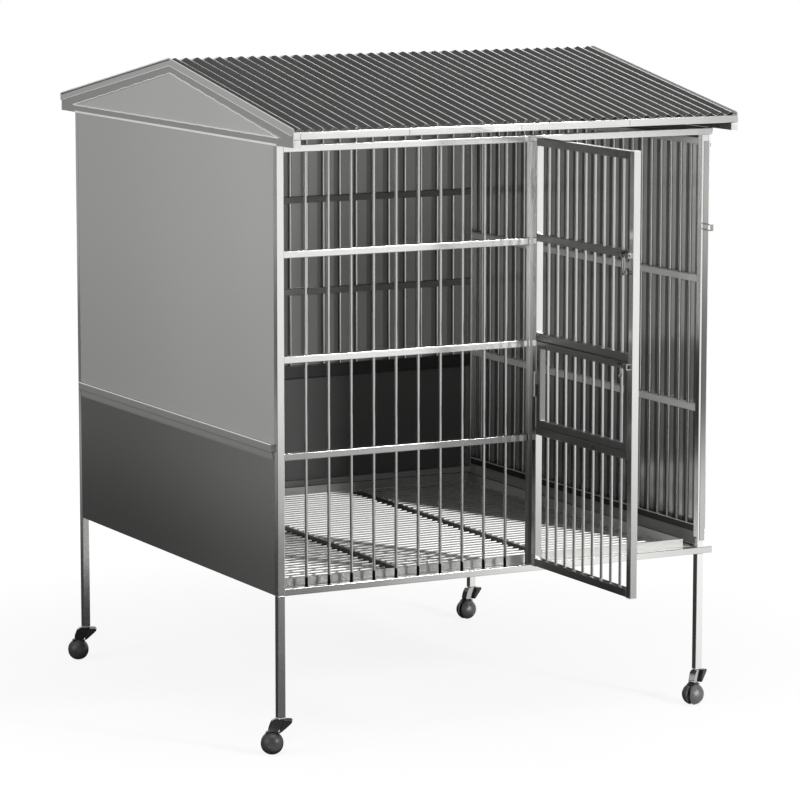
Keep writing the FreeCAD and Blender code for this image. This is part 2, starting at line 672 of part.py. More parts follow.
def castor_shapes():
    """Horn, wheel and pedal of one castor, trailing along +X from a swivel line at the origin."""
    c = V(trail, 0, ball_z)
    top = foot_z - socket_flange - swivel_float
    neck_z = top - horn_neck
    stem = rod(0, 0, neck_z, foot_z + stem_depth - neck_z, stem_r)
    head = rod(0, 0, neck_z, horn_neck, horn_r)
    side = horn_r - horn_trim
    shoulder_z = neck_z + horn_shoulder
    block = plate([(-side, -horn_half, shoulder_z), (side, -horn_half, shoulder_z),
                   (trail - horn_shoulder, -horn_half, horn_base_z), (-side, -horn_half, horn_base_z)],
                  (0, 2 * horn_half, 0))
    r_in = ball_r + hood_gap
    ring = Part.makeCylinder(r_in + hood_t, 2 * hood_half, V(trail, -hood_half, ball_z), V(0, 1, 0))
    bore = Part.makeCylinder(r_in, 2 * hood_half + 2, V(trail, -hood_half - 1, ball_z), V(0, 1, 0))
    reach = 2 * ball_r
    sector = plate([(trail, -hood_half, ball_z),
                    (trail + reach, -hood_half, ball_z + reach * hood_front_slope),
                    (trail + reach, -hood_half, ball_z + reach), (trail - reach, -hood_half, ball_z + reach),
                    (trail - reach, -hood_half, ball_z + reach * hood_rear_slope)], (0, 2 * hood_half, 0))
    hood = ring.cut(bore).common(sector)
    web = plate([(trail - boss_r, -web_half, ball_z), (trail + boss_r, -web_half, ball_z),
                 (trail + boss_r, -web_half, ball_z + r_in + horn_bite),
                 (trail - boss_r, -web_half, ball_z + r_in + horn_bite)], (0, 2 * web_half, 0))
    boss = Part.makeCylinder(boss_r, 2 * web_half, V(trail, -web_half, ball_z), V(0, 1, 0))
    eye = Part.makeCylinder(axle_r + axle_fit, 2 * web_half + 2, V(trail, -web_half - 1, ball_z), V(0, 1, 0))
    pin_x = -horn_r - pedal_lug_r
    lug = box(pin_x - pedal_lug_r + pedal_lug_cut, -side + horn_bite, -pedal_lug_half, pedal_lug_half,
              pedal_pin_z - pedal_lug_r, pedal_pin_z + pedal_lug_r)
    pin = Part.makeCylinder(pedal_pin_r, 2 * pedal_half, V(pin_x, -pedal_half, pedal_pin_z), V(0, 1, 0))
    horn = stem
    for piece in (head, block, hood, web.fuse(boss).cut(eye), lug, pin):
        horn = horn.fuse(piece)
    horn = horn.removeSplitter()
    ball = Part.makeSphere(ball_r, c)
    axle_hole = Part.makeCylinder(axle_r + press_fit, 2 * axle_half, V(trail, -axle_half, ball_z), V(0, 1, 0))
    halves = []
    for s in (-1, 1):
        y = sorted((s * ball_slot / 2, s * 2 * ball_r))
        half = ball.common(box(trail - 2 * ball_r, trail + 2 * ball_r, y[0], y[1], -ball_r, 4 * ball_r))
        halves.append(half.cut(axle_hole))
    axle = Part.makeCylinder(axle_r, 2 * axle_half, V(trail, -axle_half, ball_z), V(0, 1, 0))
    pedal_x = -horn_r - pedal_gap
    pedal_top = top - pedal_drop
    pedal = plate([(pedal_x, -pedal_half, pedal_top), (-pedal_reach + pedal_bevel, -pedal_half, pedal_top),
                   (-pedal_reach, -pedal_half, pedal_top - pedal_bevel),
                   (pin_x - pedal_lug_r + pedal_toe, -pedal_half, pedal_tip_z),
                   (pedal_x, -pedal_half, pedal_tip_z)], (0, 2 * pedal_half, 0))
    room = pedal_lug_half + pedal_lug_gap
    slot = box(pin_x - pedal_lug_r - pedal_slot_room, 0.0, -room, room, pedal_tip_z - 1.0,
               pedal_pin_z + pedal_lug_r + pedal_slot_head)
    hole = Part.makeCylinder(pedal_pin_r + pedal_pin_fit, 2 * pedal_half + 2,
                             V(pin_x, -pedal_half - 1, pedal_pin_z), V(0, 1, 0))
    return {"horn": [horn], "wheel": halves + [axle], "pedal": [pedal.cut(slot).cut(hole)]}


def castors():
    """Four castors in their turned positions and the sockets in the leg ends."""
    sockets = []
    for corner, turn in castor_turns.items():
        sx = -1 if "left" in corner else 1
        sy = -1 if "front" in corner else 1
        x = sx * (half_w - post / 2)
        y = sy * (half_d - post / 2)
        inner = post / 2 - wall - plug_fit
        flange = box(x - post / 2, x + post / 2, y - post / 2, y + post / 2, foot_z - socket_flange, foot_z)
        body = box(x - inner, x + inner, y - inner, y + inner, foot_z, foot_z + socket_depth)
        bore = rod(x, y, foot_z - socket_flange - 1.0, socket_flange + stem_depth + 2.0, stem_r + stem_fit)
        sockets.append(flange.fuse(body).cut(bore).removeSplitter())
        for name, solids in castor_shapes().items():
            group = Part.makeCompound(solids)
            group.rotate(V(0, 0, 0), V(0, 0, 1), turn)
            group.translate(V(x, y, 0))
            nodes["castor_%s_%s" % (name, corner)] = group
    nodes["castor_sockets"] = Part.makeCompound(sockets)


posts_and_front()
rear_wall()
left_wall()
right_wall()
floor()
roof()
small_frame_pieces()
door_group()
castors()

# The origin is the middle of the whole outline on the ground, door open
whole = Part.makeCompound(list(nodes.values())).optimalBoundingBox(False, False)
shift = V(-whole.Center.x, -whole.Center.y, -whole.ZMin)
os.makedirs("parts", exist_ok=True)
for name, shape in nodes.items():
    shape.translate(shift)
    shape.exportStep("parts/%s.step" % name)
print("nodes", len(nodes), "shift", shift)
print("door hinge", hinge_x + shift.x, hinge_y + shift.y)
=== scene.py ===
import math
import bpy
import numpy as np
from mathutils import Matrix, Vector


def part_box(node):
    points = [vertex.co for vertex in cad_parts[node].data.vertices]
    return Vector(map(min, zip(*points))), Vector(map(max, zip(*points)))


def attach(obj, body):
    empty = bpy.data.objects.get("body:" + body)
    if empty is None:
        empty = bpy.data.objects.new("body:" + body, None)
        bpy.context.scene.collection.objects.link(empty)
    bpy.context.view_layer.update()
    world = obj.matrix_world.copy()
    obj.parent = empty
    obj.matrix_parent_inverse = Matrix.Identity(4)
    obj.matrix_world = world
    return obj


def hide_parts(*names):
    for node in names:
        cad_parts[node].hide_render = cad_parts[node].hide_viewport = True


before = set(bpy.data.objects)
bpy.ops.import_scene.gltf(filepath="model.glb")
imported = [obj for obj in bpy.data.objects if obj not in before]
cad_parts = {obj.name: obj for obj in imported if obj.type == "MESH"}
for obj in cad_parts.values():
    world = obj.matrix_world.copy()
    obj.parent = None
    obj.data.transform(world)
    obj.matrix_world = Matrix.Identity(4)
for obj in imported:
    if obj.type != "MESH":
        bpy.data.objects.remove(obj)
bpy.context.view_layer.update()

# Stock in metres, the same as the frame's own
POST = 0.020
RAIL = 0.018
WALL = 0.0012
SHEET = 0.0012
BAR = 0.004

# Rounded edges, weld beads, lengths on the texture's caps and ends, and angles of sharp edges
CORNER = 0.0015
HOLD = 0.00015
BAR_BEAD = 0.0011
TUBE_BEAD = 0.0012
POST_BEAD = 0.0009
EDGE_BEAD = 0.0012
LEAST_CORNER = 0.0003
STRIP = (0.0005, LEAST_CORNER)
CAP_UV = (0.004, 0.002)
EDGE_UV = 0.001
SHARP = 38.0
ROOF_SHARP = 60.0

# Walls
SILL = 0.414
SILL_TOP = SILL + RAIL
SILL_STUB = 0.025
HEAD_STUB = 0.0105
MULLION = 0.093
FRONT_TOPS = (1.298, 1.030, 0.781)
RIGHT_TOPS = (1.169, 0.819)
RIGHT_HEAD = 1.538
RIGHT_FOOT = 0.491
REAR_FOOT = 0.466
REAR_SEAM = 0.036
FRONT_BARS = 10
REAR_BARS = 22
RIGHT_BARS = 24
BAR_TIP = 0.026
COVER_IN = 0.006
COVER_OUT = 0.002
COVER_LOW = 0.45
COVER_HIGH = 1.53
FOOT_EDGE_IN = 0.001
SEAM_TOP = 0.804
SEAM_BOT = 0.763
SEAM_PROUD = 0.008
SEAM_ROUND = 0.0022
SEAM_SHORT = 0.004
SEAM_BEAD = 0.0018
SEAM_BEAD_IN = 0.0016
SEAM_BEAD_DOWN = 0.0012
BAND_PROUD = 0.002
LIP_Z = 0.784

# Door and hatch
DOOR_TUBE = 0.020
DOOR_GAP = 0.002
DOOR_LAP = 0.002
DOOR_FOOT = 0.434
DOOR_TOPS = (1.560, 1.312, 1.053, 0.8045)
DOOR_BARS = 9
HINGE_IN = 0.0025
HINGE_OUT = 0.0065
HATCH_TUBE = 0.018
HATCH_GAP = 0.002

# Roof
ROOF_TUBE = 0.020
OVERHANG = 0.0956
ROOF_RIGHT = 0.029
ROOF_RISE = 0.136
RAKE_BACK = 0.005
RAKE_DEEP = 0.030
TRIM_DEEP = 0.020
TRIM_BACK = 0.012
GABLE_IN = 0.026
FLANGE_PROUD = 0.0016
FLANGE_DOWN = 0.001
FLANGE_UP = 0.0045
FLANGE_CORNER = 0.0007
GABLE_BEAD = (0.0016, 0.0007)
BASE_BEAD = (0.0019, 0.0003)
SHEET_BEAD = 0.0013
# Drop below the crest of the near-black bead that paints the shadow under the rear sheet's edge
SHEET_SHADOW_DROP = 0.0042
TRIM_OUT = 0.0008
SHEET_OUT = 0.0012
# How far the painted shadow bead under the rear sheet's edge stands out from the gable
SHADOW_OUT = 0.0014
CAP_PROUD = 0.0006
CAP_SUNK = 0.001
CAP_CORNER = 0.002
JOINT_HALF = 0.0006
JOINT_PROUD = 0.0002
JOINT_SUNK = 0.0004
JOINT_MARGIN = 0.002
JOINT_CORNER = (0.0002, 0.0001)
DRIP = 0.001
WAVES = 40
WAVE_STEPS = 16
WAVE_H = 0.008
ROOF_T = 0.0008
EAVE_JOINTS = (-0.617, -0.311, 0.013, 0.336)
SWAY_LONG = 0.083
SWAY_SHORT = 0.031
SWAY_SHARE = 0.7
SWAY_STEP = 0.004

# Floor
BEAM_X = 0.22
BEAM_W = 0.020
MAT_IN = 0.0415
MAT_NEAR = 0.016
MAT_FAR = 0.002
MAT_SEAT = SILL + 0.010
WIRES = 40
WIRE = 0.0021
WIRE_UP = 0.0022
WIRE_EDGE = 0.003
CROSS_WIRE = 0.0012
CROSS_UP = 0.0006
CROSS_PITCH = 0.05
CROSS_EDGE = 0.012
CROSS_SHORT = 0.001
LIP_TOP = 0.451
LIP_IN = 0.040
LIP_FACE_IN = 0.0418
LIP_OVER = 0.0003
REAR_LIP_BEAD = 0.0018
FOOT_BEAD = 0.0016
# Drop and radius of the near-black bead that paints the shadow under the rear lip's top
LIP_SHADOW_DROP = 0.0052
LIP_SHADOW_BEAD = 0.0024
UNDER_LOW = 0.0005
UNDER_HIGH = 0.0015
UNDER_CORNER = (0.0004, 0.0002)

# Castors, drawn trailing along +X from the swivel line, with outlines in x and z
TRAIL = 0.022
BALL = 0.030
BALL_SLOT = 0.011
BALL_RIM = math.sqrt(BALL ** 2 - (BALL_SLOT / 2) ** 2)
BALL_Z = BALL_RIM
BALL_BORE = 0.0052
BALL_CAP = math.radians(72)
AXLE = 0.005
STEM = 0.0055
STEM_FOOT = 0.093
NECK_HALF = 0.009
PEDAL_HALF = 0.016
HOOD_R = 0.0313
HOOD_T = 0.0017
HOOD_HALF = 0.011
HOOD_TURN = (58.0, 128.0)
NECK_LINE = [(-0.0098, 0.0935), (-0.0088, 0.0945), (0.0155, 0.0945), (0.025, 0.087), (0.033, 0.066),
             (0.030, 0.060), (0.0065, 0.060), (0.0055, 0.061)]
PEDAL_LINE = [(-0.0099, 0.0905), (-0.0109, 0.0915), (-0.027, 0.0915), (-0.032, 0.087), (-0.0015, 0.0595),
              (0.0026, 0.0595), (0.0035, 0.0603), (0.0022, 0.0668)]
TURNS = {"front_left": 152.0, "rear_left": 158.0, "front_right": 212.0, "rear_right": 201.0}

# Studio, with the camera fitted to the photograph's edges
AMBIENT = 0.22
FLOOR_NEAR = 0.86
FLOOR_FAR = 0.97
FLOOR_TONE = 0.15
FLOOR_HALF = 14.0
FELT_TONE = 0.015
SENSOR = 36.0
FOCAL_PIXELS = 3779.0
PICTURE_PIXELS = 800.0
VIEW_SPOT = (-4.7542, -9.1551, 2.3405)
VIEW_TURN = math.radians(-27.696)
VIEW_FALL = math.radians(8.541)
VIEW_ROLL = math.radians(0.04)

# Places worked out from the frame, about the middle of the body
left_low, left_high = [np.array(c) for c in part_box("post_front_left")]
right_high = np.array(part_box("post_rear_right")[1])
MIDDLE = np.array([(left_low[0] + right_high[0]) / 2, (left_low[1] + right_high[1]) / 2, 0.0])
HALF_W = (right_high[0] - left_low[0]) / 2
HALF_D = (right_high[1] - left_low[1]) / 2
FOOT = left_low[2]
HEAD = left_high[2]
HEAD_BOT = HEAD - RAIL
INNER_X = HALF_W - POST
INNER_Y = HALF_D - POST
RIGHT_PITCH = 2 * INNER_Y / (RIGHT_BARS + 1)
REAR_PITCH = 2 * INNER_X / (REAR_BARS + 1)
FRONT = -HALF_D
REAR_RAIL = HALF_D - SHEET - RAIL
RIGHT_RAIL = HALF_W - RAIL
EAVE = HALF_D + OVERHANG
END_TOP = HEAD + ROOF_TUBE
EAVE_TOP = END_TOP + ROOF_TUBE
RIDGE = EAVE_TOP + ROOF_RISE
SLOPE = math.atan(ROOF_RISE / EAVE)
ROOF_X0 = -HALF_W
ROOF_X1 = HALF_W + ROOF_RIGHT
RAKE_X1 = ROOF_X1 - RAKE_BACK
HINGE = (MULLION + POST - HINGE_IN, FRONT - HINGE_OUT)
DOOR_X0 = HINGE[0] + HINGE_OUT
DOOR_X1 = INNER_X + DOOR_LAP
DOOR_Y = FRONT - DOOR_GAP - DOOR_TUBE


# Surfaces
def surface(points, u, v, loop_u=False, loop_v=False):
    """Quad skin over an n by m grid of points; u and v are lengths along the two directions of the grid. A
    looped direction joins its last line back to its first, and its lengths have one more entry."""
    n, m = points.shape[:2]
    a, b = np.meshgrid(np.arange(n if loop_u else n - 1), np.arange(m if loop_v else m - 1), indexing="ij")
    c, d = (a + 1) % n, (b + 1) % m
    quads = np.stack([a * m + b, a * m + d, c * m + d, c * m + b], -1).reshape(-1, 4)
    u, v = np.asarray(u, float), np.asarray(v, float)
    uv = np.stack([np.stack([u[a], v[b]], -1), np.stack([u[a], v[b + 1]], -1),
                   np.stack([u[a + 1], v[b + 1]], -1), np.stack([u[a + 1], v[b]], -1)], 2).reshape(-1, 4, 2)
    return {"co": points.reshape(-1, 3), "quads": quads, "quv": uv,
            "tris": np.empty((0, 3), int), "tuv": np.empty((0, 3, 2))}


def lengths(points):
    """Running length along a line of points."""
    step = np.linalg.norm(np.diff(points, axis=0), axis=1)
    return np.concatenate([[0.0], np.cumsum(step)])


def girth(loop):
    """Running length round a closed outline."""
    return lengths(np.vstack([loop, loop[:1]]))


def circle(sides):
    """Evenly spaced angles round a full turn."""
    return np.arange(sides) * 2 * np.pi / sides


def capped(part, sides, low_centre, high_centre):
    """Closes the first and last ring of a skin with a fan of triangles about each centre."""
    k = len(part["co"])
    j = np.arange(sides)
    base = k - sides
    low = np.stack([np.full(sides, k), (j + 1) % sides, j], -1)
    high = np.stack([np.full(sides, k + 1), base + j, base + (j + 1) % sides], -1)
    part["co"] = np.vstack([part["co"], low_centre, high_centre])
    part["tris"] = np.vstack([low, high])
    part["tuv"] = np.zeros((2 * sides, 3, 2))
    part["tuv"][:, 1, 0] = CAP_UV[0]
    part["tuv"][:, 2, 1] = CAP_UV[1]
    return part


def lathe(profile, origin, axis, sides=20, closed=False):
    """Profile of radius and height pairs turned about an axis; an open profile is capped to the axis at
    both ends."""
    profile, origin = np.asarray(profile, float), np.asarray(origin, float)
    w = np.asarray(axis, float) / np.linalg.norm(axis)
    p = np.cross(w, (0.0, 0.0, 1.0)) if abs(w[2]) < 0.9 else np.array([1.0, 0.0, 0.0])
    p = p / np.linalg.norm(p)
    q = np.cross(w, p)
    t = circle(sides)
    ring = np.cos(t)[:, None] * p + np.sin(t)[:, None] * q
    points = origin + profile[:, 0, None, None] * ring[None] + profile[:, 1, None, None] * w
    around = 2 * np.pi * profile[:, 0].mean() * np.arange(sides + 1) / sides
    if closed:
        return surface(points, girth(profile), around, True, True)
    low, high = origin + profile[[0, -1], 1, None] * w
    return capped(surface(points, lengths(profile), around, False, True), sides, low, high)


def rounded(w, h, r, steps=4):
    """Rounded rectangle about the origin: four quarter circles, anticlockwise, each with a point close
    before and after it on the straight sides, so that the flat faces shade flat."""
    turn = np.arange(4)[:, None] * np.pi / 2 + np.linspace(0, np.pi / 2, steps + 1)[None]
    turn = np.concatenate([turn[:, :1], turn, turn[:, -1:]], 1)
    hold = np.zeros(steps + 3)
    hold[0], hold[-1] = -HOLD, HOLD
    sx = np.array([1, -1, -1, 1])[:, None] * (w / 2 - r)
    sy = np.array([1, 1, -1, -1])[:, None] * (h / 2 - r)
    x = sx + r * np.cos(turn) - hold * np.sin(turn)
    y = sy + r * np.sin(turn) + hold * np.cos(turn)
    return np.stack([x.ravel(), y.ravel()], -1)


def carried(loops, levels, axis, middle):
    """Points of closed outlines of equal length, carried along one axis, each at its own level."""
    b, c = (axis + 1) % 3, (axis + 2) % 3
    points = np.empty((len(loops), len(loops[0]), 3))
    points[:, :, b] = middle[b] + np.stack([loop[:, 0] for loop in loops])
    points[:, :, c] = middle[c] + np.stack([loop[:, 1] for loop in loops])
    points[:, :, axis] = np.asarray(levels, float)[:, None]
    return points


def square_tube(x0, x1, y0, y1, z0, z1, along):
    """Rounded rectangle carried along one axis: out along the outer skin and back along the bore."""
    lo, hi = np.array([x0, y0, z0]), np.array([x1, y1, z1])
    a = "xyz".index(along)
    b, c = (a + 1) % 3, (a + 2) % 3
    size = hi - lo
    outer = rounded(size[b], size[c], CORNER)
    inner = rounded(size[b] - 2 * WALL, size[c] - 2 * WALL, CORNER - WALL)
    points = carried([outer, outer, inner, inner], [lo[a], hi[a], hi[a], lo[a]], a, (lo + hi) / 2)
    back = 2 * hi[a] - lo[a] + WALL
    return surface(points, [lo[a], hi[a], hi[a] + WALL, back, back + WALL], girth(outer), True, True)


def solid_block(x0, x1, y0, y1, z0, z1, along, corner, edge):
    """Rounded rectangle carried along one axis, with softened and closed ends."""
    lo, hi = np.array([x0, y0, z0]), np.array([x1, y1, z1])
    a = "xyz".index(along)
    b, c = (a + 1) % 3, (a + 2) % 3
    size = hi - lo
    full = rounded(size[b], size[c], corner)
    small = rounded(size[b] - 2 * edge, size[c] - 2 * edge, max(corner - edge, LEAST_CORNER))
    points = carried([small, full, full, small], [lo[a], lo[a] + edge, hi[a] - edge, hi[a]], a, (lo + hi) / 2)
    part = surface(points, [0.0, edge, size[a] - edge, size[a]], girth(full), False, True)
    return capped(part, len(full), points[0].mean(0), points[-1].mean(0))


def bar(x, y, z0, z1):
    """Upright round bar: a circle carried from one level to the other."""
    return lathe([(BAR, z0), (BAR, z1)], (x, y, 0.0), (0, 0, 1), 14)


def weld_ring(x, y, z):
    """Weld bead round an upright bar: a small circle, partly sunk, turned about the bar's line."""
    t = circle(5)
    profile = np.stack([BAR + 0.3 * BAR_BEAD + BAR_BEAD * np.cos(t), BAR_BEAD * np.sin(t)], -1)
    return lathe(profile, (x, y, z), (0, 0, 1), 12, True)


def weld_frame(centre, side, axis, bead=TUBE_BEAD):
    """Weld bead round a square tube's end: a small circle carried round the tube's rounded outline."""
    loop = rounded(side, side, CORNER)
    t = circle(6)
    out = loop / np.linalg.norm(loop, axis=1, keepdims=True)
    a = "xyz".index(axis)
    b, c = (a + 1) % 3, (a + 2) % 3
    points = np.empty((6, len(loop), 3))
    points[:, :, b] = centre[b] + loop[None, :, 0] + bead * np.cos(t)[:, None] * out[None, :, 0]
    points[:, :, c] = centre[c] + loop[None, :, 1] + bead * np.cos(t)[:, None] * out[None, :, 1]
    points[:, :, a] = centre[a] + bead * np.sin(t)[:, None]
    return surface(points, np.arange(7) * bead, girth(loop), True, True)


def bead_line(start, end, r, sway=0.0, sides=6):
    """Bead from one point to another: a small circle carried along the line, its middle swaying across the
    line by a sum of two sines of the length."""
    start, end = np.asarray(start, float), np.asarray(end, float)
    run = end - start
    long = np.linalg.norm(run)
    ahead = run / long
    side = np.cross(ahead, (1.0, 0.0, 0.0))
    side = side / np.linalg.norm(side)
    up = np.cross(ahead, side)
    n = 2 if sway == 0 else max(2, int(long / SWAY_STEP))
    w = np.linspace(0.0, long, n)
    t = circle(sides)
    shift = sway * (np.sin(w * 2 * np.pi / SWAY_LONG) + SWAY_SHARE * np.sin(w * 2 * np.pi / SWAY_SHORT + 1.0))
    middle = start + w[:, None] * ahead + shift[:, None] * side
    ring = r * (np.cos(t)[:, None] * side + np.sin(t)[:, None] * up)
    points = middle[:, None, :] + ring[None]
    part = surface(points, w, r * np.arange(sides + 1), False, True)
    return capped(part, sides, middle[0], middle[-1])


def section(profile, y0, y1):
    """Closed outline in x and z carried straight from one y to another, with both ends closed."""
    profile = np.asarray(profile, float)
    k = len(profile)
    points = np.empty((2, k, 3))
    points[:, :, 0] = profile[:, 0]
    points[:, :, 2] = profile[:, 1]
    points[:, :, 1] = np.array([y0, y1])[:, None]
    part = surface(points, [0.0, y1 - y0], girth(profile), False, True)
    return capped(part, k, points[0].mean(0), points[1].mean(0))


def slab(top, bottom, u, v):
    """Closed sheet between two matching grids: the top rows, then the bottom rows backwards, and both end
    strips."""
    n, m = top.shape[:2]
    both = np.concatenate([top, bottom[::-1]])
    run = np.concatenate([u, u[-1] + (u[-1] - u[::-1]) + EDGE_UV, [2 * u[-1] + 2 * EDGE_UV]])
    part = surface(both, run, v, True, False)
    i = np.arange(n - 1)
    up, down = i * m, (2 * n - 1 - i) * m
    first = np.stack([up, up + m, down - m, down], -1)
    last = np.stack([up + m, up, down, down - m], -1) + m - 1
    part["quads"] = np.vstack([part["quads"], first, last])
    strip = np.zeros((2 * (n - 1), 4, 2))
    strip[:, 1:3, 0] = 2 * EDGE_UV
    strip[:, 2:, 1] = EDGE_UV
    part["quv"] = np.concatenate([part["quv"], strip])
    return part


def softened(profile):
    """Closed outline with its corners cut twice over, a fifth of each side at a time."""
    profile = np.asarray(profile, float)
    for _ in range(2):
        after = np.roll(profile, -1, axis=0)
        profile = np.stack([0.8 * profile + 0.2 * after, 0.2 * profile + 0.8 * after], 1).reshape(-1, 2)
    return profile


def moved(part, change):
    """Same skin with its points changed by a function of the whole array."""
    return dict(part, co=change(part["co"]))


def swung(parts):
    """Closed-door skins turned a quarter round the door's hinge line, as the open door stands."""
    def turn(p):
        return np.stack([HINGE[0] + p[:, 1] - HINGE[1], HINGE[1] - (p[:, 0] - HINGE[0]), p[:, 2]], -1)
    return [moved(part, turn) for part in parts]


def outward(part):
    """Turns a closed skin inside out if its signed volume is negative."""
    co, quads, tris = part["co"], part["quads"], part["tris"]
    three = np.vstack([quads[:, [0, 1, 2]], quads[:, [0, 2, 3]], tris])
    p = co - co.mean(0)
    volume = np.einsum("ij,ij->i", p[three[:, 0]], np.cross(p[three[:, 1]], p[three[:, 2]])).sum()
    if volume < 0:
        turned = {key: part[key][:, ::-1] for key in ("quads", "quv", "tris", "tuv")}
        return dict(part, **turned)
    return part


def make(name, parts, body, material, stands_for=(), sharp=SHARP):
    """One piece from many skins: their points moved to the frame's place, their faces smooth but for sharp
    edges."""
    parts = [outward(part) for part in parts]
    starts = np.cumsum([0] + [len(part["co"]) for part in parts[:-1]])
    co = np.vstack([part["co"] for part in parts]) + MIDDLE
    quads = np.vstack([part["quads"] + s for part, s in zip(parts, starts)])
    tris = np.vstack([part["tris"] + s for part, s in zip(parts, starts)])
    uv = np.vstack([np.concatenate([part["quv"] for part in parts]).reshape(-1, 2),
                    np.concatenate([part["tuv"] for part in parts]).reshape(-1, 2)])
    corners = np.concatenate([quads.ravel(), tris.ravel()])
    mesh = bpy.data.meshes.new(name)
    mesh.vertices.add(len(co))
    mesh.vertices.foreach_set("co", co.ravel())
    mesh.loops.add(len(corners))
    mesh.loops.foreach_set("vertex_index", corners.astype(np.int32))
    mesh.polygons.add(len(quads) + len(tris))
    begin = np.concatenate([np.arange(len(quads)) * 4, 4 * len(quads) + np.arange(len(tris)) * 3])
    mesh.polygons.foreach_set("loop_start", begin.astype(np.int32))
    mesh.update(calc_edges=True)
    mesh.validate()
    layer = mesh.uv_layers.new(name="length")
    layer.data.foreach_set("uv", uv.ravel())
    mesh.polygons.foreach_set("use_smooth", np.ones(len(mesh.polygons), bool))
    mesh.set_sharp_from_angle(angle=math.radians(sharp))
    mesh.materials.append(material)
    piece = bpy.data.objects.new(name, mesh)
    bpy.context.scene.collection.objects.link(piece)
    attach(piece, body)
    if stands_for:
        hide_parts(*stands_for)
    return piece


# Material nodes
def feed(tree, socket, value):
    """Links another socket to this one, or sets it to a plain value."""
    if hasattr(value, "is_linked"):
        tree.links.new(value, socket)
    else:
        socket.default_value = value


def math_node(tree, operation, a, b):
    """Math node with links or numbers on its two inputs."""
    node = tree.nodes.new("ShaderNodeMath")
    node.operation = operation
    feed(tree, node.inputs[0], a)
    feed(tree, node.inputs[1], b)
    return node.outputs[0]


def eased(tree, value, start, end, first=0.0, last=1.0):
    """Smooth change from a first to a last value while a place goes from start to end."""
    node = tree.nodes.new("ShaderNodeMapRange")
    node.interpolation_type = "SMOOTHSTEP"
    ends = {"Value": value, "From Min": start, "From Max": end, "To Min": first, "To Max": last}
    for label, item in ends.items():
        feed(tree, node.inputs[label], item)
    return node.outputs["Result"]


def product(tree, a, b):
    """Colour of a link or plain colour times another link."""
    mix = tree.nodes.new("ShaderNodeMix")
    mix.data_type = "RGBA"
    mix.blend_type = "MULTIPLY"
    mix.inputs["Factor"].default_value = 1.0
    feed(tree, mix.inputs["A"], a)
    feed(tree, mix.inputs["B"], b)
    return mix.outputs["Result"]


def grey(value, warm=0.985):
    """Neutral linear colour, a little warm."""
    return (value, value, value * warm, 1.0)


def new_material(name):
    """Material with its node tree, its shader and its texture coordinates."""
    material = bpy.data.materials.new(name)
    material.use_nodes = True
    tree = material.node_tree
    return material, tree, tree.nodes["Principled BSDF"], tree.nodes.new("ShaderNodeTexCoord")


def one_axis(tree, coord, axis):
    """One of the object coordinates as a value."""
    split = tree.nodes.new("ShaderNodeSeparateXYZ")
    tree.links.new(coord.outputs["Object"], split.inputs[0])
    return split.outputs["xyz".index(axis)]


def relief(tree, shader, height, strength, distance):
    """Fine bump on a shader's normal."""
    bump = tree.nodes.new("ShaderNodeBump")
    bump.inputs["Strength"].default_value = strength
    bump.inputs["Distance"].default_value = distance
    tree.links.new(height, bump.inputs["Height"])
    tree.links.new(bump.outputs["Normal"], shader.inputs["Normal"])


# Effects that many materials share
def group(name, inputs, outputs):
    """Empty node group with named sockets: inputs are name, kind and default, outputs are name and kind,
    and a kind is Float, Vector or Color."""
    tree = bpy.data.node_groups.new(name, "ShaderNodeTree")
    for label, kind, value in inputs:
        socket = tree.interface.new_socket(label, in_out="INPUT", socket_type="NodeSocket" + kind)
        if value is not None:
            socket.default_value = value
    for label, kind in outputs:
        tree.interface.new_socket(label, in_out="OUTPUT", socket_type="NodeSocket" + kind)
    return tree, tree.nodes.new("NodeGroupInput").outputs, tree.nodes.new("NodeGroupOutput").inputs


def grain_group():
    """Drawn-metal grain: noise stretched along the first coordinate, as a tone near one and a height."""
    settings = [("Vector", "Vector", None), ("Along", "Float", 6.0), ("Across", "Float", 900.0),
                ("Depth", "Float", 0.2)]
    tree, given, out = group("drawn_grain", settings, [("Tone", "Float"), ("Height", "Float")])
    scale = tree.nodes.new("ShaderNodeCombineXYZ")
    for socket, label in zip(scale.inputs, ("Along", "Across", "Across")):
        tree.links.new(given[label], socket)
    stretch = tree.nodes.new("ShaderNodeVectorMath")
    stretch.operation = "MULTIPLY"
    tree.links.new(given["Vector"], stretch.inputs[0])
    tree.links.new(scale.outputs[0], stretch.inputs[1])
    noise = tree.nodes.new("ShaderNodeTexNoise")
    noise.inputs["Scale"].default_value = 1.0
    noise.inputs["Detail"].default_value = 3.0
    tree.links.new(stretch.outputs[0], noise.inputs["Vector"])
    centred = math_node(tree, "SUBTRACT", noise.outputs["Fac"], 0.5)
    swing = math_node(tree, "MULTIPLY", centred, given["Depth"])
    tree.links.new(math_node(tree, "ADD", swing, 1.0), out["Tone"])
    tree.links.new(noise.outputs["Fac"], out["Height"])
    return tree


def cloud_group():
    """Handling marks: soft noise spread between a low and a high value."""
    settings = [("Vector", "Vector", None), ("Scale", "Float", 4.0), ("Low", "Float", 0.2),
                ("High", "Float", 0.4)]
    tree, given, out = group("handling_cloud", settings, [("Value", "Float")])
    noise = tree.nodes.new("ShaderNodeTexNoise")
    noise.inputs["Detail"].default_value = 4.0
    tree.links.new(given["Vector"], noise.inputs["Vector"])
    tree.links.new(given["Scale"], noise.inputs["Scale"])
    spread_out = tree.nodes.new("ShaderNodeMapRange")
    spread_out.inputs["From Min"].default_value = 0.32
    spread_out.inputs["From Max"].default_value = 0.68
    tree.links.new(noise.outputs["Fac"], spread_out.inputs["Value"])
    tree.links.new(given["Low"], spread_out.inputs["To Min"])
    tree.links.new(given["High"], spread_out.inputs["To Max"])
    tree.links.new(spread_out.outputs["Result"], out["Value"])
    return tree


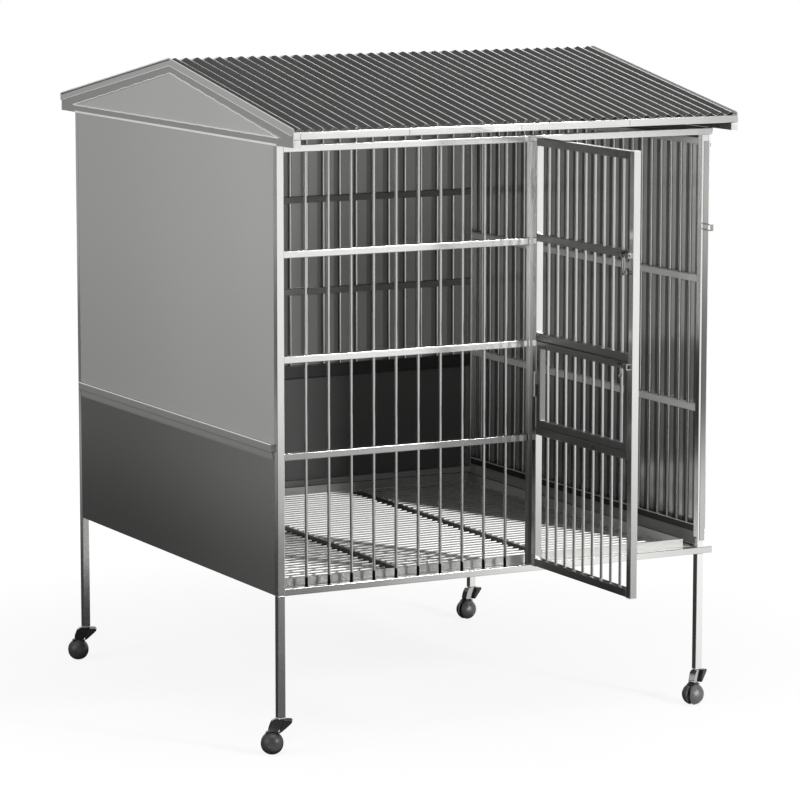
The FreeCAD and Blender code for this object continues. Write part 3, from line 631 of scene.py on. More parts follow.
def fade_group():
    """Slow and smooth change of tone along one direction, from a first colour to a last."""
    settings = [("Place", "Float", None), ("Start", "Float", 0.0), ("End", "Float", 1.0),
                ("First", "Color", None), ("Last", "Color", None)]
    tree, given, out = group("slow_fade", settings, [("Color", "Color")])
    mix = tree.nodes.new("ShaderNodeMix")
    mix.data_type = "RGBA"
    tree.links.new(eased(tree, given["Place"], given["Start"], given["End"]), mix.inputs["Factor"])
    tree.links.new(given["First"], mix.inputs["A"])
    tree.links.new(given["Last"], mix.inputs["B"])
    tree.links.new(mix.outputs["Result"], out["Color"])
    return tree


def painted_bar_shade_group():
    """Repeated painted shade lines, standing in for the shadows and reflections of a row of bars: a low value
    on the first part of every pitch along one direction, on the face nearer than a limit along another
    direction, and one elsewhere."""
    settings = [("Place", "Float", None), ("Start", "Float", 0.0), ("Pitch", "Float", 1.0),
                ("Share", "Float", 0.3), ("Low", "Float", 0.3), ("Face", "Float", None),
                ("Limit", "Float", 0.0)]
    tree, given, out = group("painted_bar_shade_lines", settings, [("Value", "Float")])
    away = math_node(tree, "SUBTRACT", given["Place"], given["Start"])
    step = math_node(tree, "FRACT", math_node(tree, "DIVIDE", away, given["Pitch"]), 0.0)
    near = math_node(tree, "LESS_THAN", given["Face"], given["Limit"])
    inside = math_node(tree, "MULTIPLY", near, math_node(tree, "LESS_THAN", step, given["Share"]))
    drop = math_node(tree, "MULTIPLY", inside, math_node(tree, "SUBTRACT", 1.0, given["Low"]))
    tree.links.new(math_node(tree, "SUBTRACT", 1.0, drop), out["Value"])
    return tree


GRAIN = grain_group()
CLOUD = cloud_group()
FADE = fade_group()
PAINTED_BAR_SHADES = painted_bar_shade_group()


def place(tree, node_tree, **values):
    """Outputs of a group placed in a material with its own numbers and links."""
    node = tree.nodes.new("ShaderNodeGroup")
    node.node_tree = node_tree
    for label, value in values.items():
        feed(tree, node.inputs[label], value)
    return node.outputs


# Finishes
def steel(name, tone=None, rough=(0.22, 0.34), metal=1.0, along=5.0, across=900.0, depth=0.16, bump=0.02,
          on="UV", fades=(), cloud=5.0, lines=None):
    """Drawn or rolled steel: base tone times grain, clouded roughness and a fine grain bump. Each of the
    fades is (axis, start, end, first, last): the first stands in for the tone and changes along the piece,
    and the others multiply it. The lines are (axis, start, pitch, share, low, face, limit) of painted shadow
    and reflection lines beside a row of bars."""
    material, tree, shader, coord = new_material(name)
    grain = place(tree, GRAIN, Vector=coord.outputs[on], Along=along, Across=across, Depth=depth)
    dull = place(tree, CLOUD, Vector=coord.outputs["Object"], Scale=cloud, Low=rough[0], High=rough[1])
    base = None if tone is None else grey(tone)
    for axis, start, end, first, last in fades:
        step = place(tree, FADE, Place=one_axis(tree, coord, axis), Start=start, End=end, First=grey(first),
                     Last=grey(last))["Color"]
        base = step if base is None else product(tree, base, step)
    if lines:
        axis, start, pitch, share, low, face, limit = lines
        beside = place(tree, PAINTED_BAR_SHADES, Place=one_axis(tree, coord, axis), Start=start, Pitch=pitch, Share=share,
                       Low=low, Face=one_axis(tree, coord, face), Limit=limit)
        base = product(tree, base, beside["Value"])
    tree.links.new(product(tree, base, grain["Tone"]), shader.inputs["Base Color"])
    tree.links.new(dull["Value"], shader.inputs["Roughness"])
    shader.inputs["Metallic"].default_value = metal
    relief(tree, shader, grain["Height"], bump, 0.0004)
    return material


def plastic(name, tone, rough):
    """Moulded plastic: clouded tone and roughness with a fine spark-eroded grain."""
    material, tree, shader, coord = new_material(name)
    spot = coord.outputs["Object"]
    shade = place(tree, CLOUD, Vector=spot, Scale=60.0, Low=0.85, High=1.15)
    dull = place(tree, CLOUD, Vector=spot, Scale=25.0, Low=rough[0], High=rough[1])
    pits = place(tree, GRAIN, Vector=spot, Along=600.0, Across=600.0, Depth=0.2)
    tree.links.new(product(tree, grey(tone, 1.0), shade["Value"]), shader.inputs["Base Color"])
    tree.links.new(dull["Value"], shader.inputs["Roughness"])
    relief(tree, shader, pits["Height"], 0.05, 0.0002)
    return material


satin = dict(rough=(0.13, 0.20))
brushed = dict(along=5.0, across=500.0)
dull_tube = dict(brushed, rough=(0.4, 0.5), on="Object")
sheet_grain = dict(along=3.0, across=500.0, bump=0.01, on="Object", cloud=2.0)
rolled = dict(sheet_grain, rough=(0.42, 0.55), metal=0.35, depth=0.05)
fine_edge = dict(metal=0.2, along=30.0, across=400.0, depth=0.1, on="Object", cloud=12.0)
# Painted shade lines of the bars on inner faces only: their shadows on the rear sheet and their reflections
# in the pan
rear_bar_shadows = ("x", MIDDLE[0] - INNER_X - 0.016, REAR_PITCH, 0.30, 0.55, "y", MIDDLE[1] + HALF_D - SHEET / 2)
pan_bar_reflections = ("y", MIDDLE[1] - INNER_Y + 0.031, RIGHT_PITCH, 0.30, 0.30, "x", MIDDLE[0] + HALF_W + 0.0044)
bar_foot = SILL_TOP + BAR_TIP

tube_steel = steel("satin_tube", 0.78, **satin)
bar_steel = steel("drawn_bar", 0.74, **satin)
# Painted shade: the door and right bars are darker copies of the drawn bar steel
door_bar_steel = steel("door_bar", 0.56, **satin)
right_bar_steel = steel("right_bar", 0.62, **satin)
# Painted light and shade: the mullion (dark low), right post cover (dark in the middle), low cross rail and
# header tubes (darker right) and door stiles (darker low) are satin tube with tone fades standing in for
# their reflections and shadows
mullion_steel = steel("mullion_tube", rough=(0.3, 0.4), metal=0.35, fades=[("z", 0.64, 1.30, 0.09, 1.0)])
cover_steel = steel("right_post_cover", **satin,
                    fades=[("z", 0.56, 0.86, 0.45, 0.145), ("z", 0.95, 1.45, 1.0, 2.9)])
low_cross_steel = steel("low_cross_tube", fades=[("x", -0.25, 0.06, 0.46, 0.24)], **satin)
# Painted shade: the front bars are a darker copy of the drawn bar steel. Nearly black over their lowest
# BAR_TIP above the sill.
front_bar_steel = steel("front_bar", fades=[("z", bar_foot - 0.002, bar_foot, 0.02, 0.56)], **satin)
door_steel = steel("door_tube", fades=[("z", 0.50, 1.05, 0.50, 0.77)], **satin)
header_steel = steel("header_tube", fades=[("x", 0.2, 0.66, 0.78, 0.58)], **satin)
door_rail_steel = steel("door_rail_tube", 0.23, rough=(0.26, 0.4))
# Painted shade: the side sheets darken towards the bottom, and the lower sheet also towards the rear
upper_sheet = steel("upper_side_sheet", **rolled,
                    fades=[("y", HALF_D, -0.1, 0.50, 0.54), ("z", 0.80, 1.35, 0.90, 1.0)])
lower_sheet = steel("lower_side_sheet", **rolled,
                    fades=[("y", HALF_D, -HALF_D, 0.075, 0.125), ("z", 0.42, 0.76, 0.95, 1.75)])
seam_sheet = steel("side_seam", 0.30, **rolled)
gable_sheet = steel("gable_sheet", 0.57, **rolled)
gable_tube = steel("gable_tube", 0.37, **rolled)
rake_trim = steel("rake_trim", 0.52, **rolled)
# Painted light: the right rails and the bead along the right foot are a lighter, less metallic copy of the
# tube steel where they stand in shade
right_rail_steel = steel("right_rail", 0.92, rough=(0.35, 0.45), metal=0.25, **brushed)
# Painted shade: the floor ledgers darker towards the left
ledge_steel = steel("floor_ledge", rough=(0.45, 0.55), metal=0.5, on="Object",
                    fades=[("x", -0.5, 0.25, 0.32, 0.72)], **brushed)
shelf_steel = steel("right_foot_strip", 0.34, rough=(0.45, 0.55), metal=0.2, across=300.0, depth=0.3)
# Painted shade: near-black copies of the tube steel for the right wall's foot rails and the floor beams under
# the mats
foot_steel = steel("right_foot", 0.035, metal=0.4, **dull_tube)
beam_steel = steel("beam_tube", 0.04, metal=0.1, **dull_tube)
far_tube = steel("shaded_base_tube", 0.09, metal=0.3, **dull_tube)
# Painted highlight: a near-white finish for beads along edges where light catches them
painted_highlight_steel = steel("painted_highlight_edge", 0.95, rough=(0.3, 0.42), **fine_edge)
# Painted shadow: a near-black finish for the beads under the rear sheet's edge and the rear lip's top; the
# eave tube's joint lines use it too
shade_and_joint_dark = steel("shade_and_joint_line", 0.03, rough=(0.5, 0.6), **fine_edge)
# Painted light and shade: the rear sheet lighter at the left and the top
rear_sheet = steel("rear_upper_sheet", rough=(0.18, 0.28), metal=0.45, depth=0.06, lines=rear_bar_shadows,
                   fades=[("z", 1.05, 1.45, 0.42, 0.66), ("x", -0.60, 0.10, 1.35, 0.13)], **sheet_grain)
dark_sheet = steel("rear_lower_sheet", 0.085, rough=(0.34, 0.48), metal=0.4, depth=0.06, **sheet_grain)
# Painted shade: the pan darker towards the bottom
pan_sheet = steel("right_pan_sheet", rough=(0.1, 0.16), metal=0.65, depth=0.06, lines=pan_bar_reflections,
                  fades=[("z", 0.55, 0.85, 0.5, 0.88)], **sheet_grain)
# Painted shade: the rear rails darker towards the right
rear_rail_steel = steel("rear_rail", rough=(0.35, 0.45), metal=0.5, **brushed,
                        fades=[("x", -0.6, 0.1, 0.34, 0.03)])
# Painted shade: the floor lip darker towards the left and along its rear run
lip_steel = steel("floor_lip", rough=(0.42, 0.5), metal=0.6, on="Object",
                  fades=[("x", -0.5, 0.25, 0.36, 0.62), ("y", 0.70, 0.78, 1.0, 0.5)], **brushed)
# Painted highlight: grey lines along the rear lip, the rear foot rail and the right lip, painted darker
# towards the right
rear_line_steel = steel("rear_line", rough=(0.3, 0.4), metal=0.3, along=20.0, across=400.0, on="Object",
                        fades=[("x", -0.3, 0.35, 0.55, 0.10)])
under_steel = steel("under_sheet", 0.5, rough=(0.5, 0.6), metal=0.2, along=3.0, across=300.0, on="Object")
roof_steel = steel("roof_sheet", 0.40, rough=(0.18, 0.27), metal=0.9, along=3.0, across=400.0, depth=0.12)
bright_steel = steel("bright_hardware", 0.38, rough=(0.14, 0.24), along=40.0, across=300.0, depth=0.1,
                     bump=0.01, on="Object", cloud=20.0)
wire_steel = steel("grid_wire", 0.72, rough=(0.40, 0.50), metal=0.3, along=20.0)
# Painted reflection: the castor necks lighter towards +x, so the right-hand necks are lighter than the
# left-hand ones
horn_metal = steel("castor_horn", rough=(0.1, 0.18), along=60.0, across=300.0, depth=0.2, bump=0.03,
                   on="Object", cloud=30.0, fades=[("x", -0.4, 0.4, 0.22, 0.46)])
ball_plastic = plastic("ball_plastic", 0.045, (0.34, 0.44))
brake_plastic = plastic("brake_plastic", 0.012, (0.35, 0.5))
plug_plastic = plastic("plug_plastic", 0.62, (0.35, 0.5))


# Frame tubes and walls
def spread(start, end, count):
    """Evenly spaced places strictly between two edges."""
    return start + (end - start) * (np.arange(count) + 1) / (count + 1)


def both_faces(tops, deep):
    """Upper and lower level of each rail, from the rails' tops and depth."""
    return [z for top in tops for z in (top, top - deep)]


def bar_row(spots, spans, levels):
    """Upright bars at (x, y) spots over each (low, high) span, with a weld bead at each level."""
    bars = [bar(x, y, low, high) for x, y in spots for low, high in spans]
    return bars + [weld_ring(x, y, z) for x, y in spots for z in levels]


def posts():
    """Four corner posts; the right ones are cut where the sill and header pass through."""
    for side, y0 in (("front", -HALF_D), ("rear", INNER_Y)):
        y1 = y0 + POST
        left = [square_tube(-HALF_W, -INNER_X, y0, y1, FOOT, HEAD, "z"),
                weld_frame((-HALF_W + POST / 2, y0 + POST / 2, SILL), POST, "z", POST_BEAD)]
        make("left_post_" + side, left, "cage", tube_steel, ["post_%s_left" % side])
        right = [square_tube(INNER_X, HALF_W, y0, y1, SILL_TOP, HEAD_BOT, "z"),
                 square_tube(INNER_X, HALF_W, y0, y1, FOOT, SILL, "z")]
        make("right_post_" + side, right, "cage", tube_steel, ["post_%s_right" % side])


def front_wall():
    """Header, sill, mullion and cross rails with their weld beads, and the fixed bars."""
    y0, y1 = FRONT, FRONT + RAIL
    mid = FRONT + RAIL / 2
    header = [square_tube(-INNER_X, HALF_W + HEAD_STUB, y0, y1, HEAD_BOT, HEAD, "x")]
    make("header_tube", header, "cage", header_steel, ["front_header_rail"])
    sill = [square_tube(-INNER_X, HALF_W + SILL_STUB, y0, y1, SILL, SILL_TOP, "x")]
    make("sill_tube", sill, "cage", header_steel, ["front_sill_rail"])
    mullion = [square_tube(MULLION, MULLION + POST, y0, y1, SILL_TOP, HEAD_BOT, "z")]
    make("mullion_tube", mullion, "cage", mullion_steel, ["hinge_mullion"])
    for name, tops, finish in (("cross_tubes", FRONT_TOPS[:2], tube_steel),
                               ("low_cross_tube", FRONT_TOPS[2:], low_cross_steel)):
        rails = [square_tube(-INNER_X, MULLION, y0, y1, top - RAIL, top, "x") for top in tops]
        rails += [weld_frame((x, mid, top - RAIL / 2), RAIL, "x")
                  for top in tops for x in (-INNER_X, MULLION)]
        make(name, rails, "cage", finish, ["front_cross_rails"])
    spots = [(x, mid) for x in spread(-INNER_X, MULLION, FRONT_BARS)]
    span = (SILL_TOP, HEAD_BOT)
    bars = bar_row(spots, [span], [*span, *both_faces(FRONT_TOPS, RAIL)])
    make("front_bar_row", bars, "cage", front_bar_steel, ["front_bars"])


def rear_wall():
    """Rear rails, seam rail and bars; the sheets behind keep their frame shape."""
    y0, y1 = REAR_RAIL, REAR_RAIL + RAIL
    mid = y0 + RAIL / 2
    rails = [square_tube(-INNER_X, HALF_W + HEAD_STUB, y0, y1, HEAD_BOT, HEAD, "x"),
             square_tube(-INNER_X, HALF_W + SILL_STUB, y0, y1, SILL, SILL_TOP, "x")]
    rails += [square_tube(-INNER_X, INNER_X, y0, y1, top - RAIL, top, "x")
              for top in (REAR_FOOT, *FRONT_TOPS[:2])]
    make("rear_tubes", rails, "cage", rear_rail_steel, ["rear_rails"])
    seam = [square_tube(-INNER_X, INNER_X, y0, y1, SEAM_TOP - REAR_SEAM, SEAM_TOP, "x")]
    make("rear_seam_tube", seam, "cage", rear_rail_steel, ["rear_seam_rail"])
    spots = [(x, mid) for x in spread(-INNER_X, INNER_X, REAR_BARS)]
    span = (SEAM_TOP, HEAD_BOT)
    bars = bar_row(spots, [span], [*span, *both_faces(FRONT_TOPS[:2], RAIL)])
    make("rear_bar_row", bars, "cage", bar_steel, ["rear_bars"])


def right_wall():
    """Right rails and bars in front of the outer pan, the strips that close the wall above and below them,
    and the cover strip on the front post, whose tone up its height is painted shade and light."""
    x0 = RIGHT_RAIL
    thin = HALF_W - WALL
    rails = [square_tube(x0, HALF_W, -INNER_Y, INNER_Y, top - RAIL, top, "y")
             for top in (RIGHT_HEAD, *RIGHT_TOPS)]
    make("right_tubes", rails, "cage", right_rail_steel, ["right_rails"])
    low = [square_tube(x0, HALF_W, -INNER_Y, INNER_Y, RIGHT_FOOT - RAIL, RIGHT_FOOT, "y"),
           square_tube(x0, HALF_W, FRONT + RAIL, REAR_RAIL, SILL, SILL_TOP, "y")]
    make("right_foot_tubes", low, "cage", foot_steel, ["right_rails"])
    shelf = [solid_block(thin, HALF_W, -INNER_Y, INNER_Y, SILL_TOP, RIGHT_FOOT - RAIL, "y", *STRIP)]
    make("right_foot_strip", shelf, "cage", shelf_steel, ["right_rails"])
    strip = [solid_block(thin, HALF_W, -INNER_Y, INNER_Y, RIGHT_HEAD, HEAD, "y", *STRIP),
             solid_block(thin, ROOF_X1 - ROOF_TUBE, FRONT, HALF_D, HEAD - WALL, HEAD, "y", *STRIP)]
    make("right_head_strip", strip, "cage", far_tube, ["right_rails"])
    # Bead in the lighter right-rail finish, a painted highlight along the foot rail's top
    edge_x = x0 + FOOT_EDGE_IN
    line = [bead_line((edge_x, -INNER_Y, RIGHT_FOOT), (edge_x, INNER_Y, RIGHT_FOOT), EDGE_BEAD)]
    make("right_foot_edge", line, "cage", right_rail_steel)
    cover = [solid_block(INNER_X + COVER_IN, HALF_W + COVER_OUT, FRONT - SHEET, FRONT, COVER_LOW, COVER_HIGH,
                         "z", *STRIP)]
    make("right_post_cover", cover, "cage", cover_steel)
    spots = [(x0 + RAIL / 2, y) for y in spread(-INNER_Y, INNER_Y, RIGHT_BARS)]
    span = (RIGHT_FOOT, RIGHT_HEAD - RAIL)
    bars = bar_row(spots, [span], [*span, *both_faces(RIGHT_TOPS, RAIL)])
    make("right_bar_row", bars, "cage", right_bar_steel, ["right_bars"])


def left_seam():
    """Folded seam rail between the left sheets: a proud lip with a round upper edge over a flatter band,
    and a near-white bead along the lip's upper edge that paints its highlight."""
    wall = -HALF_W
    lip, band = wall - SEAM_PROUD, wall - BAND_PROUD
    r = SEAM_ROUND
    t = np.linspace(np.pi / 2, 0.0, 5)
    top = np.stack([lip + r - r * np.sin(t), SEAM_TOP - r + r * np.cos(t)], -1)
    fold = [(wall + WALL, SEAM_BOT), (wall - 0.0002, SEAM_BOT), (wall - 0.0006, SEAM_BOT + 0.0035),
            (band, SEAM_BOT + 0.0042), (band, LIP_Z - 0.0018), (wall, LIP_Z - 0.0012), (wall, LIP_Z),
            (lip + 0.0008, LIP_Z), (lip, LIP_Z + 0.0008)]
    profile = np.vstack([fold, top, [(wall + WALL, SEAM_TOP)]])
    end = INNER_Y - SEAM_SHORT
    rail = [section(profile, -end, end)]
    make("side_seam_rail", rail, "cage", seam_sheet, ["left_seam_rail"])
    x, z = lip + SEAM_BEAD_IN, SEAM_TOP - SEAM_BEAD_DOWN
    edge = [bead_line((x, -end, z), (x, end, z), SEAM_BEAD, sides=8)]
    make("seam_edge", edge, "cage", painted_highlight_steel)


# Roof
def corrugated(s):
    """Corrugated sheet: height is half a wave height times one minus a cosine along the roof, carried down
    the slope."""
    wide = RAKE_X1 - ROOF_X0
    u = np.linspace(0.0, 1.0, WAVES * WAVE_STEPS + 1)
    run = (EAVE + DRIP) / math.cos(SLOPE)
    down = np.linspace(0.0, run, 13)
    up = np.array([0.0, s * math.sin(SLOPE), math.cos(SLOPE)])
    along = np.array([0.0, s * math.cos(SLOPE), -math.sin(SLOPE)])
    h = WAVE_H / 2 * (1 - np.cos(2 * np.pi * WAVES * u))
    line = np.array([ROOF_X0, 0.0, RIDGE]) + wide * u[:, None] * np.array([1.0, 0, 0]) + h[:, None] * up
    low = line[:, None, :] + down[None, :, None] * along
    return slab(low + ROOF_T * up, low, u * wide, down)


def roof():
    """Base tubes and ridge beam, and the two corrugated sheets."""
    t = ROOF_TUBE
    beam = RIDGE - t / 2 * math.tan(SLOPE)
    for side, x0, finish in (("left", ROOF_X0, gable_tube), ("right", ROOF_X1 - t, far_tube)):
        base = [square_tube(x0, x0 + t, -EAVE, EAVE, HEAD, END_TOP, "y")]
        make(side + "_base_tube", base, "cage", finish, ["roof_tubes"])
    tubes = [square_tube(ROOF_X0, ROOF_X1, y, y + t, END_TOP, EAVE_TOP, "x") for y in (-EAVE, EAVE - t)]
    tubes.append(square_tube(ROOF_X0 + t, RAKE_X1 - t, -t / 2, t / 2, beam - t, beam, "x"))
    make("roof_base_tubes", tubes, "cage", header_steel, ["roof_tubes"])
    for side, s in (("front", -1), ("rear", 1)):
        make("corrugated_" + side, [corrugated(s)], "cage", roof_steel, ["roof_sheet_" + side],
             ROOF_SHARP)


def gable_edges():
    """Beads of the left gable in a near-white finish that paints their highlights: round its triangle, under
    the rake trims, along the wall's top flange and the sheets' rake edges; a near-black bead that paints the
    shadow below the rear sheet's edge; and the fine joint lines of the front eave tube."""
    x = ROOF_X0
    rise = math.tan(SLOPE)
    apex = RIDGE - RAKE_DEEP / math.cos(SLOPE)
    crest = RIDGE + (WAVE_H + ROOF_T) / math.cos(SLOPE)
    foot = (apex - END_TOP) / rise - GABLE_IN

    def rake_line(out, end, top, r):
        """Bead down the slope from a level at the ridge to a signed distance from it."""
        return bead_line((x - out, end, top - abs(end) * rise), (x - out, 0.0, top), r)

    trim_end = EAVE - TRIM_BACK
    lines = [bead_line((x, s * foot, END_TOP), (x, 0.0, apex), *GABLE_BEAD) for s in (-1, 1)]
    lines.append(bead_line((x, -foot, END_TOP), (x, foot, END_TOP), *BASE_BEAD))
    lines += [rake_line(TRIM_OUT, s * trim_end, crest - TRIM_DEEP, EDGE_BEAD) for s in (-1, 1)]
    lines.append(solid_block(x - FLANGE_PROUD, x, -HALF_D, HALF_D, HEAD - FLANGE_DOWN, HEAD + FLANGE_UP, "y",
                             FLANGE_CORNER, LEAST_CORNER))
    lines += [rake_line(SHEET_OUT, -EAVE, crest, EDGE_BEAD), rake_line(SHEET_OUT, EAVE, crest, SHEET_BEAD)]
    make("gable_beads", lines, "cage", painted_highlight_steel)
    t = ROOF_TUBE
    caps = [solid_block(x - CAP_PROUD, x + CAP_SUNK, y, y + t, END_TOP, EAVE_TOP, "x", CAP_CORNER,
                        LEAST_CORNER) for y in (-EAVE, EAVE - t)]
    make("eave_end_caps", caps, "cage", gable_tube)
    low, high = END_TOP + JOINT_MARGIN, EAVE_TOP - JOINT_MARGIN
    # Painted shadow under the rear sheet's edge, and the eave tube's dark joint lines
    shade_and_joints = [rake_line(SHADOW_OUT, EAVE, crest - SHEET_SHADOW_DROP, SHEET_BEAD)]
    shade_and_joints += [solid_block(g - JOINT_HALF, g + JOINT_HALF, -EAVE - JOINT_PROUD, -EAVE + JOINT_SUNK, low, high,
                         "z", *JOINT_CORNER) for g in EAVE_JOINTS]
    make("shade_and_joint_lines", shade_and_joints, "cage", shade_and_joint_dark)


# Door and hatch
def door_frame():
    """Door stiles, rails and bars, drawn closed and swung open with the hinge."""
    t = DOOR_TUBE
    y0, y1 = DOOR_Y, DOOR_Y + t
    mid = y0 + t / 2
    xa, xb = DOOR_X0 + t, DOOR_X1 - t
    stiles = [square_tube(x, x + t, y0, y1, DOOR_FOOT, DOOR_TOPS[0], "z") for x in (DOOR_X0, xb)]
    make("door_stile_tubes", swung(stiles), "door", door_steel, ["door_stiles"])
    tops = DOOR_TOPS + (DOOR_FOOT + t,)
    rails = [square_tube(xa, xb, y0, y1, top - t, top, "x") for top in tops]
    rails += [weld_frame((x, mid, top - t / 2), t, "x") for top in tops for x in (xa, xb)]
    make("door_rail_tubes", swung(rails), "door", door_rail_steel, ["door_rails"])
    spots = [(x, mid) for x in spread(xa, xb, DOOR_BARS)]
    spans = ((DOOR_TOPS[2], DOOR_TOPS[0] - t), (DOOR_FOOT + t, DOOR_TOPS[3] - t))
    bars = bar_row(spots, spans, [*spans[0], *spans[1], *both_faces(DOOR_TOPS[1:2], t)])
    make("door_bar_row", swung(bars), "door", door_bar_steel, ["door_bars"])


def hatch_frame():
    """Hatch tubes and bars inside the door's middle bay."""
    t = HATCH_TUBE
    y0, y1 = DOOR_Y, DOOR_Y + t
    xa, xb = DOOR_X0 + DOOR_TUBE, DOOR_X1 - DOOR_TUBE
    x0, x1 = xa + HATCH_GAP, xb - HATCH_GAP
    z0, z1 = DOOR_TOPS[3] + HATCH_GAP, DOOR_TOPS[2] - DOOR_TUBE - HATCH_GAP
    tubes = [square_tube(x, x + t, y0, y1, z0, z1, "z") for x in (x0, x1 - t)]
    tubes += [square_tube(x0 + t, x1 - t, y0, y1, z, z + t, "x") for z in (z0, z1 - t)]
    make("hatch_tubes", swung(tubes), "hatch", door_rail_steel, ["hatch_frame"])
    spots = [(x, y0 + t / 2) for x in spread(xa, xb, DOOR_BARS)]
    span = (z0 + t, z1 - t)
    bars = bar_row(spots, [span], span)
    make("hatch_bar_row", swung(bars), "hatch", door_bar_steel, ["hatch_bars"])


# Floor
def floor_grid():
    """Three welded wire mats: close wires from side to side on wider-spaced wires from front to back, with
    the sheet below them; round the lip, beads in light finishes paint its highlights, and a near-black bead
    paints the shadow under the rear lip's top."""
    edge_x, edge_y = HALF_W - MAT_IN, HALF_D - MAT_IN
    near, far = BEAM_X - BEAM_W / 2 - MAT_NEAR, BEAM_X + BEAM_W / 2 + MAT_FAR
    end = edge_y - CROSS_SHORT
    wire_ys = np.linspace(-edge_y + WIRE_EDGE, edge_y - WIRE_EDGE, WIRES)
    parts = []
    for a, b in ((-edge_x, -2 * BEAM_X + near), (-2 * BEAM_X + far, near), (far, edge_x)):
        parts += [lathe([(WIRE, a), (WIRE, b)], (0, y, MAT_SEAT + WIRE_UP), (1, 0, 0), 6) for y in wire_ys]
        count = max(3, int(round((b - a) / CROSS_PITCH)) + 1)
        parts += [lathe([(CROSS_WIRE, -end), (CROSS_WIRE, end)], (x, 0, MAT_SEAT + CROSS_UP), (0, 1, 0), 6)
                  for x in np.linspace(a + CROSS_EDGE, b - CROSS_EDGE, count)]
    make("floor_wires", parts, "cage", wire_steel, ["floor_grids"])
    under = [solid_block(-edge_x, edge_x, -edge_y, edge_y, SILL + UNDER_LOW, SILL + UNDER_HIGH, "x",
                         *UNDER_CORNER)]
    make("under_sheet", under, "cage", under_steel)
    lip_x, lip_y = HALF_W - LIP_IN, HALF_D - LIP_IN
    in_x, in_y, top = HALF_W - LIP_FACE_IN, HALF_D - LIP_FACE_IN, LIP_TOP + LIP_OVER
    front = [bead_line((-lip_x, -lip_y, LIP_TOP), (lip_x, -lip_y, LIP_TOP), EDGE_BEAD)]
    make("front_lip_edge", front, "cage", painted_highlight_steel)
    rear = [bead_line((-in_x, in_y, top), (in_x, in_y, top), REAR_LIP_BEAD),
            bead_line((-INNER_X, REAR_RAIL, REAR_FOOT), (INNER_X, REAR_RAIL, REAR_FOOT), FOOT_BEAD),
            bead_line((in_x, -in_y, top), (in_x, in_y, top), FOOT_BEAD)]
    make("rear_lip_edge", rear, "cage", rear_line_steel)
    # Near-black bead that paints the shadow under the rear lip's top
    low = LIP_TOP - LIP_SHADOW_DROP
    lip_shadow = [bead_line((-in_x, in_y, low), (in_x, in_y, low), LIP_SHADOW_BEAD)]
    make("rear_lip_shadow", lip_shadow, "cage", shade_and_joint_dark)


# Castors
def castor_place(parts, corner):
    """Castor skins turned about the swivel line and put under their leg."""
    a = math.radians(TURNS[corner])
    x = (-1 if "left" in corner else 1) * (HALF_W - POST / 2)
    y = (-1 if "front" in corner else 1) * (HALF_D - POST / 2)

    def put(p):
        return np.stack([x + p[:, 0] * math.cos(a) - p[:, 1] * math.sin(a),
                         y + p[:, 0] * math.sin(a) + p[:, 1] * math.cos(a), p[:, 2]], -1)
    return [moved(part, put) for part in parts]


def ball_half(s):
    """Half of the ball wheel: an arc from the slot's rim to a shallow cap, turned about the axle."""
    half = BALL_SLOT / 2
    arc = np.linspace(math.asin((half + 0.001) / BALL), BALL_CAP, 22)
    skin = np.stack([BALL * np.cos(arc), BALL * np.sin(arc)], -1)
    inner = [(BALL_BORE, half), (BALL_RIM - 0.0012, half), (BALL_RIM - 0.0002, half + 0.0004)]
    r, h = skin[-1]
    cap = [(r - 0.0006, h - 0.0005), (r - 0.0012, h - 0.0002), (0.004, BALL - 0.0011),
           (0.0005, BALL - 0.0008)]
    return lathe(np.vstack([inner, skin, cap]), (TRAIL, 0.0, BALL_Z), (0, s, 0), 40)


def hood():
    """Castor hood: a rounded strip's outline carried round the axle from one angle to another."""
    loop = rounded(HOOD_T, 2 * HOOD_HALF, 0.0012, 3)
    turn = np.radians(np.linspace(*HOOD_TURN, 26))
    reach = HOOD_R + loop[:, 0]
    points = np.empty((len(turn), len(loop), 3))
    points[:, :, 0] = TRAIL + np.cos(turn)[:, None] * reach
    points[:, :, 1] = loop[:, 1]
    points[:, :, 2] = BALL_Z + np.sin(turn)[:, None] * reach
    part = surface(points, HOOD_R * turn, girth(loop), False, True)
    return capped(part, len(loop), points[0].mean(0), points[-1].mean(0))


def castors():
    """Four castors: leaning neck, black hood over the ball, wedge pedal with room to tilt past the neck,
    and ball wheel on its axle."""
    neck = [section(softened(NECK_LINE), -NECK_HALF, NECK_HALF),
            lathe([(STEM, STEM_FOOT), (STEM, FOOT)], (0, 0, 0), (0, 0, 1))]
    pedal = [section(softened(PEDAL_LINE), -PEDAL_HALF, PEDAL_HALF)]
    axle = lathe([(AXLE, -BALL_SLOT / 2), (AXLE, BALL_SLOT / 2)], (TRAIL, 0, BALL_Z), (0, 1, 0))
    wheel = [ball_half(-1), ball_half(1), axle]
    pieces = (("castor_neck_", neck, "castor_", "horn_metal", horn_metal, "castor_horn_"),
              ("castor_hood_", [hood()], "castor_", "horn_metal", brake_plastic, "castor_horn_"),
              ("brake_pedal_", pedal, "pedal_", "brake_plastic", brake_plastic, "castor_pedal_"),
              ("ball_wheel_", wheel, "wheel_", "ball_plastic", ball_plastic, "castor_wheel_"))
    for corner in TURNS:
        for name, parts, body, slot, material, node in pieces:
            make(name + corner, castor_place(parts, corner), body + corner, material, [node + corner])


posts()
front_wall()
rear_wall()
right_wall()
roof()
gable_edges()
left_seam()
door_frame()
hatch_frame()
floor_grid()
castors()

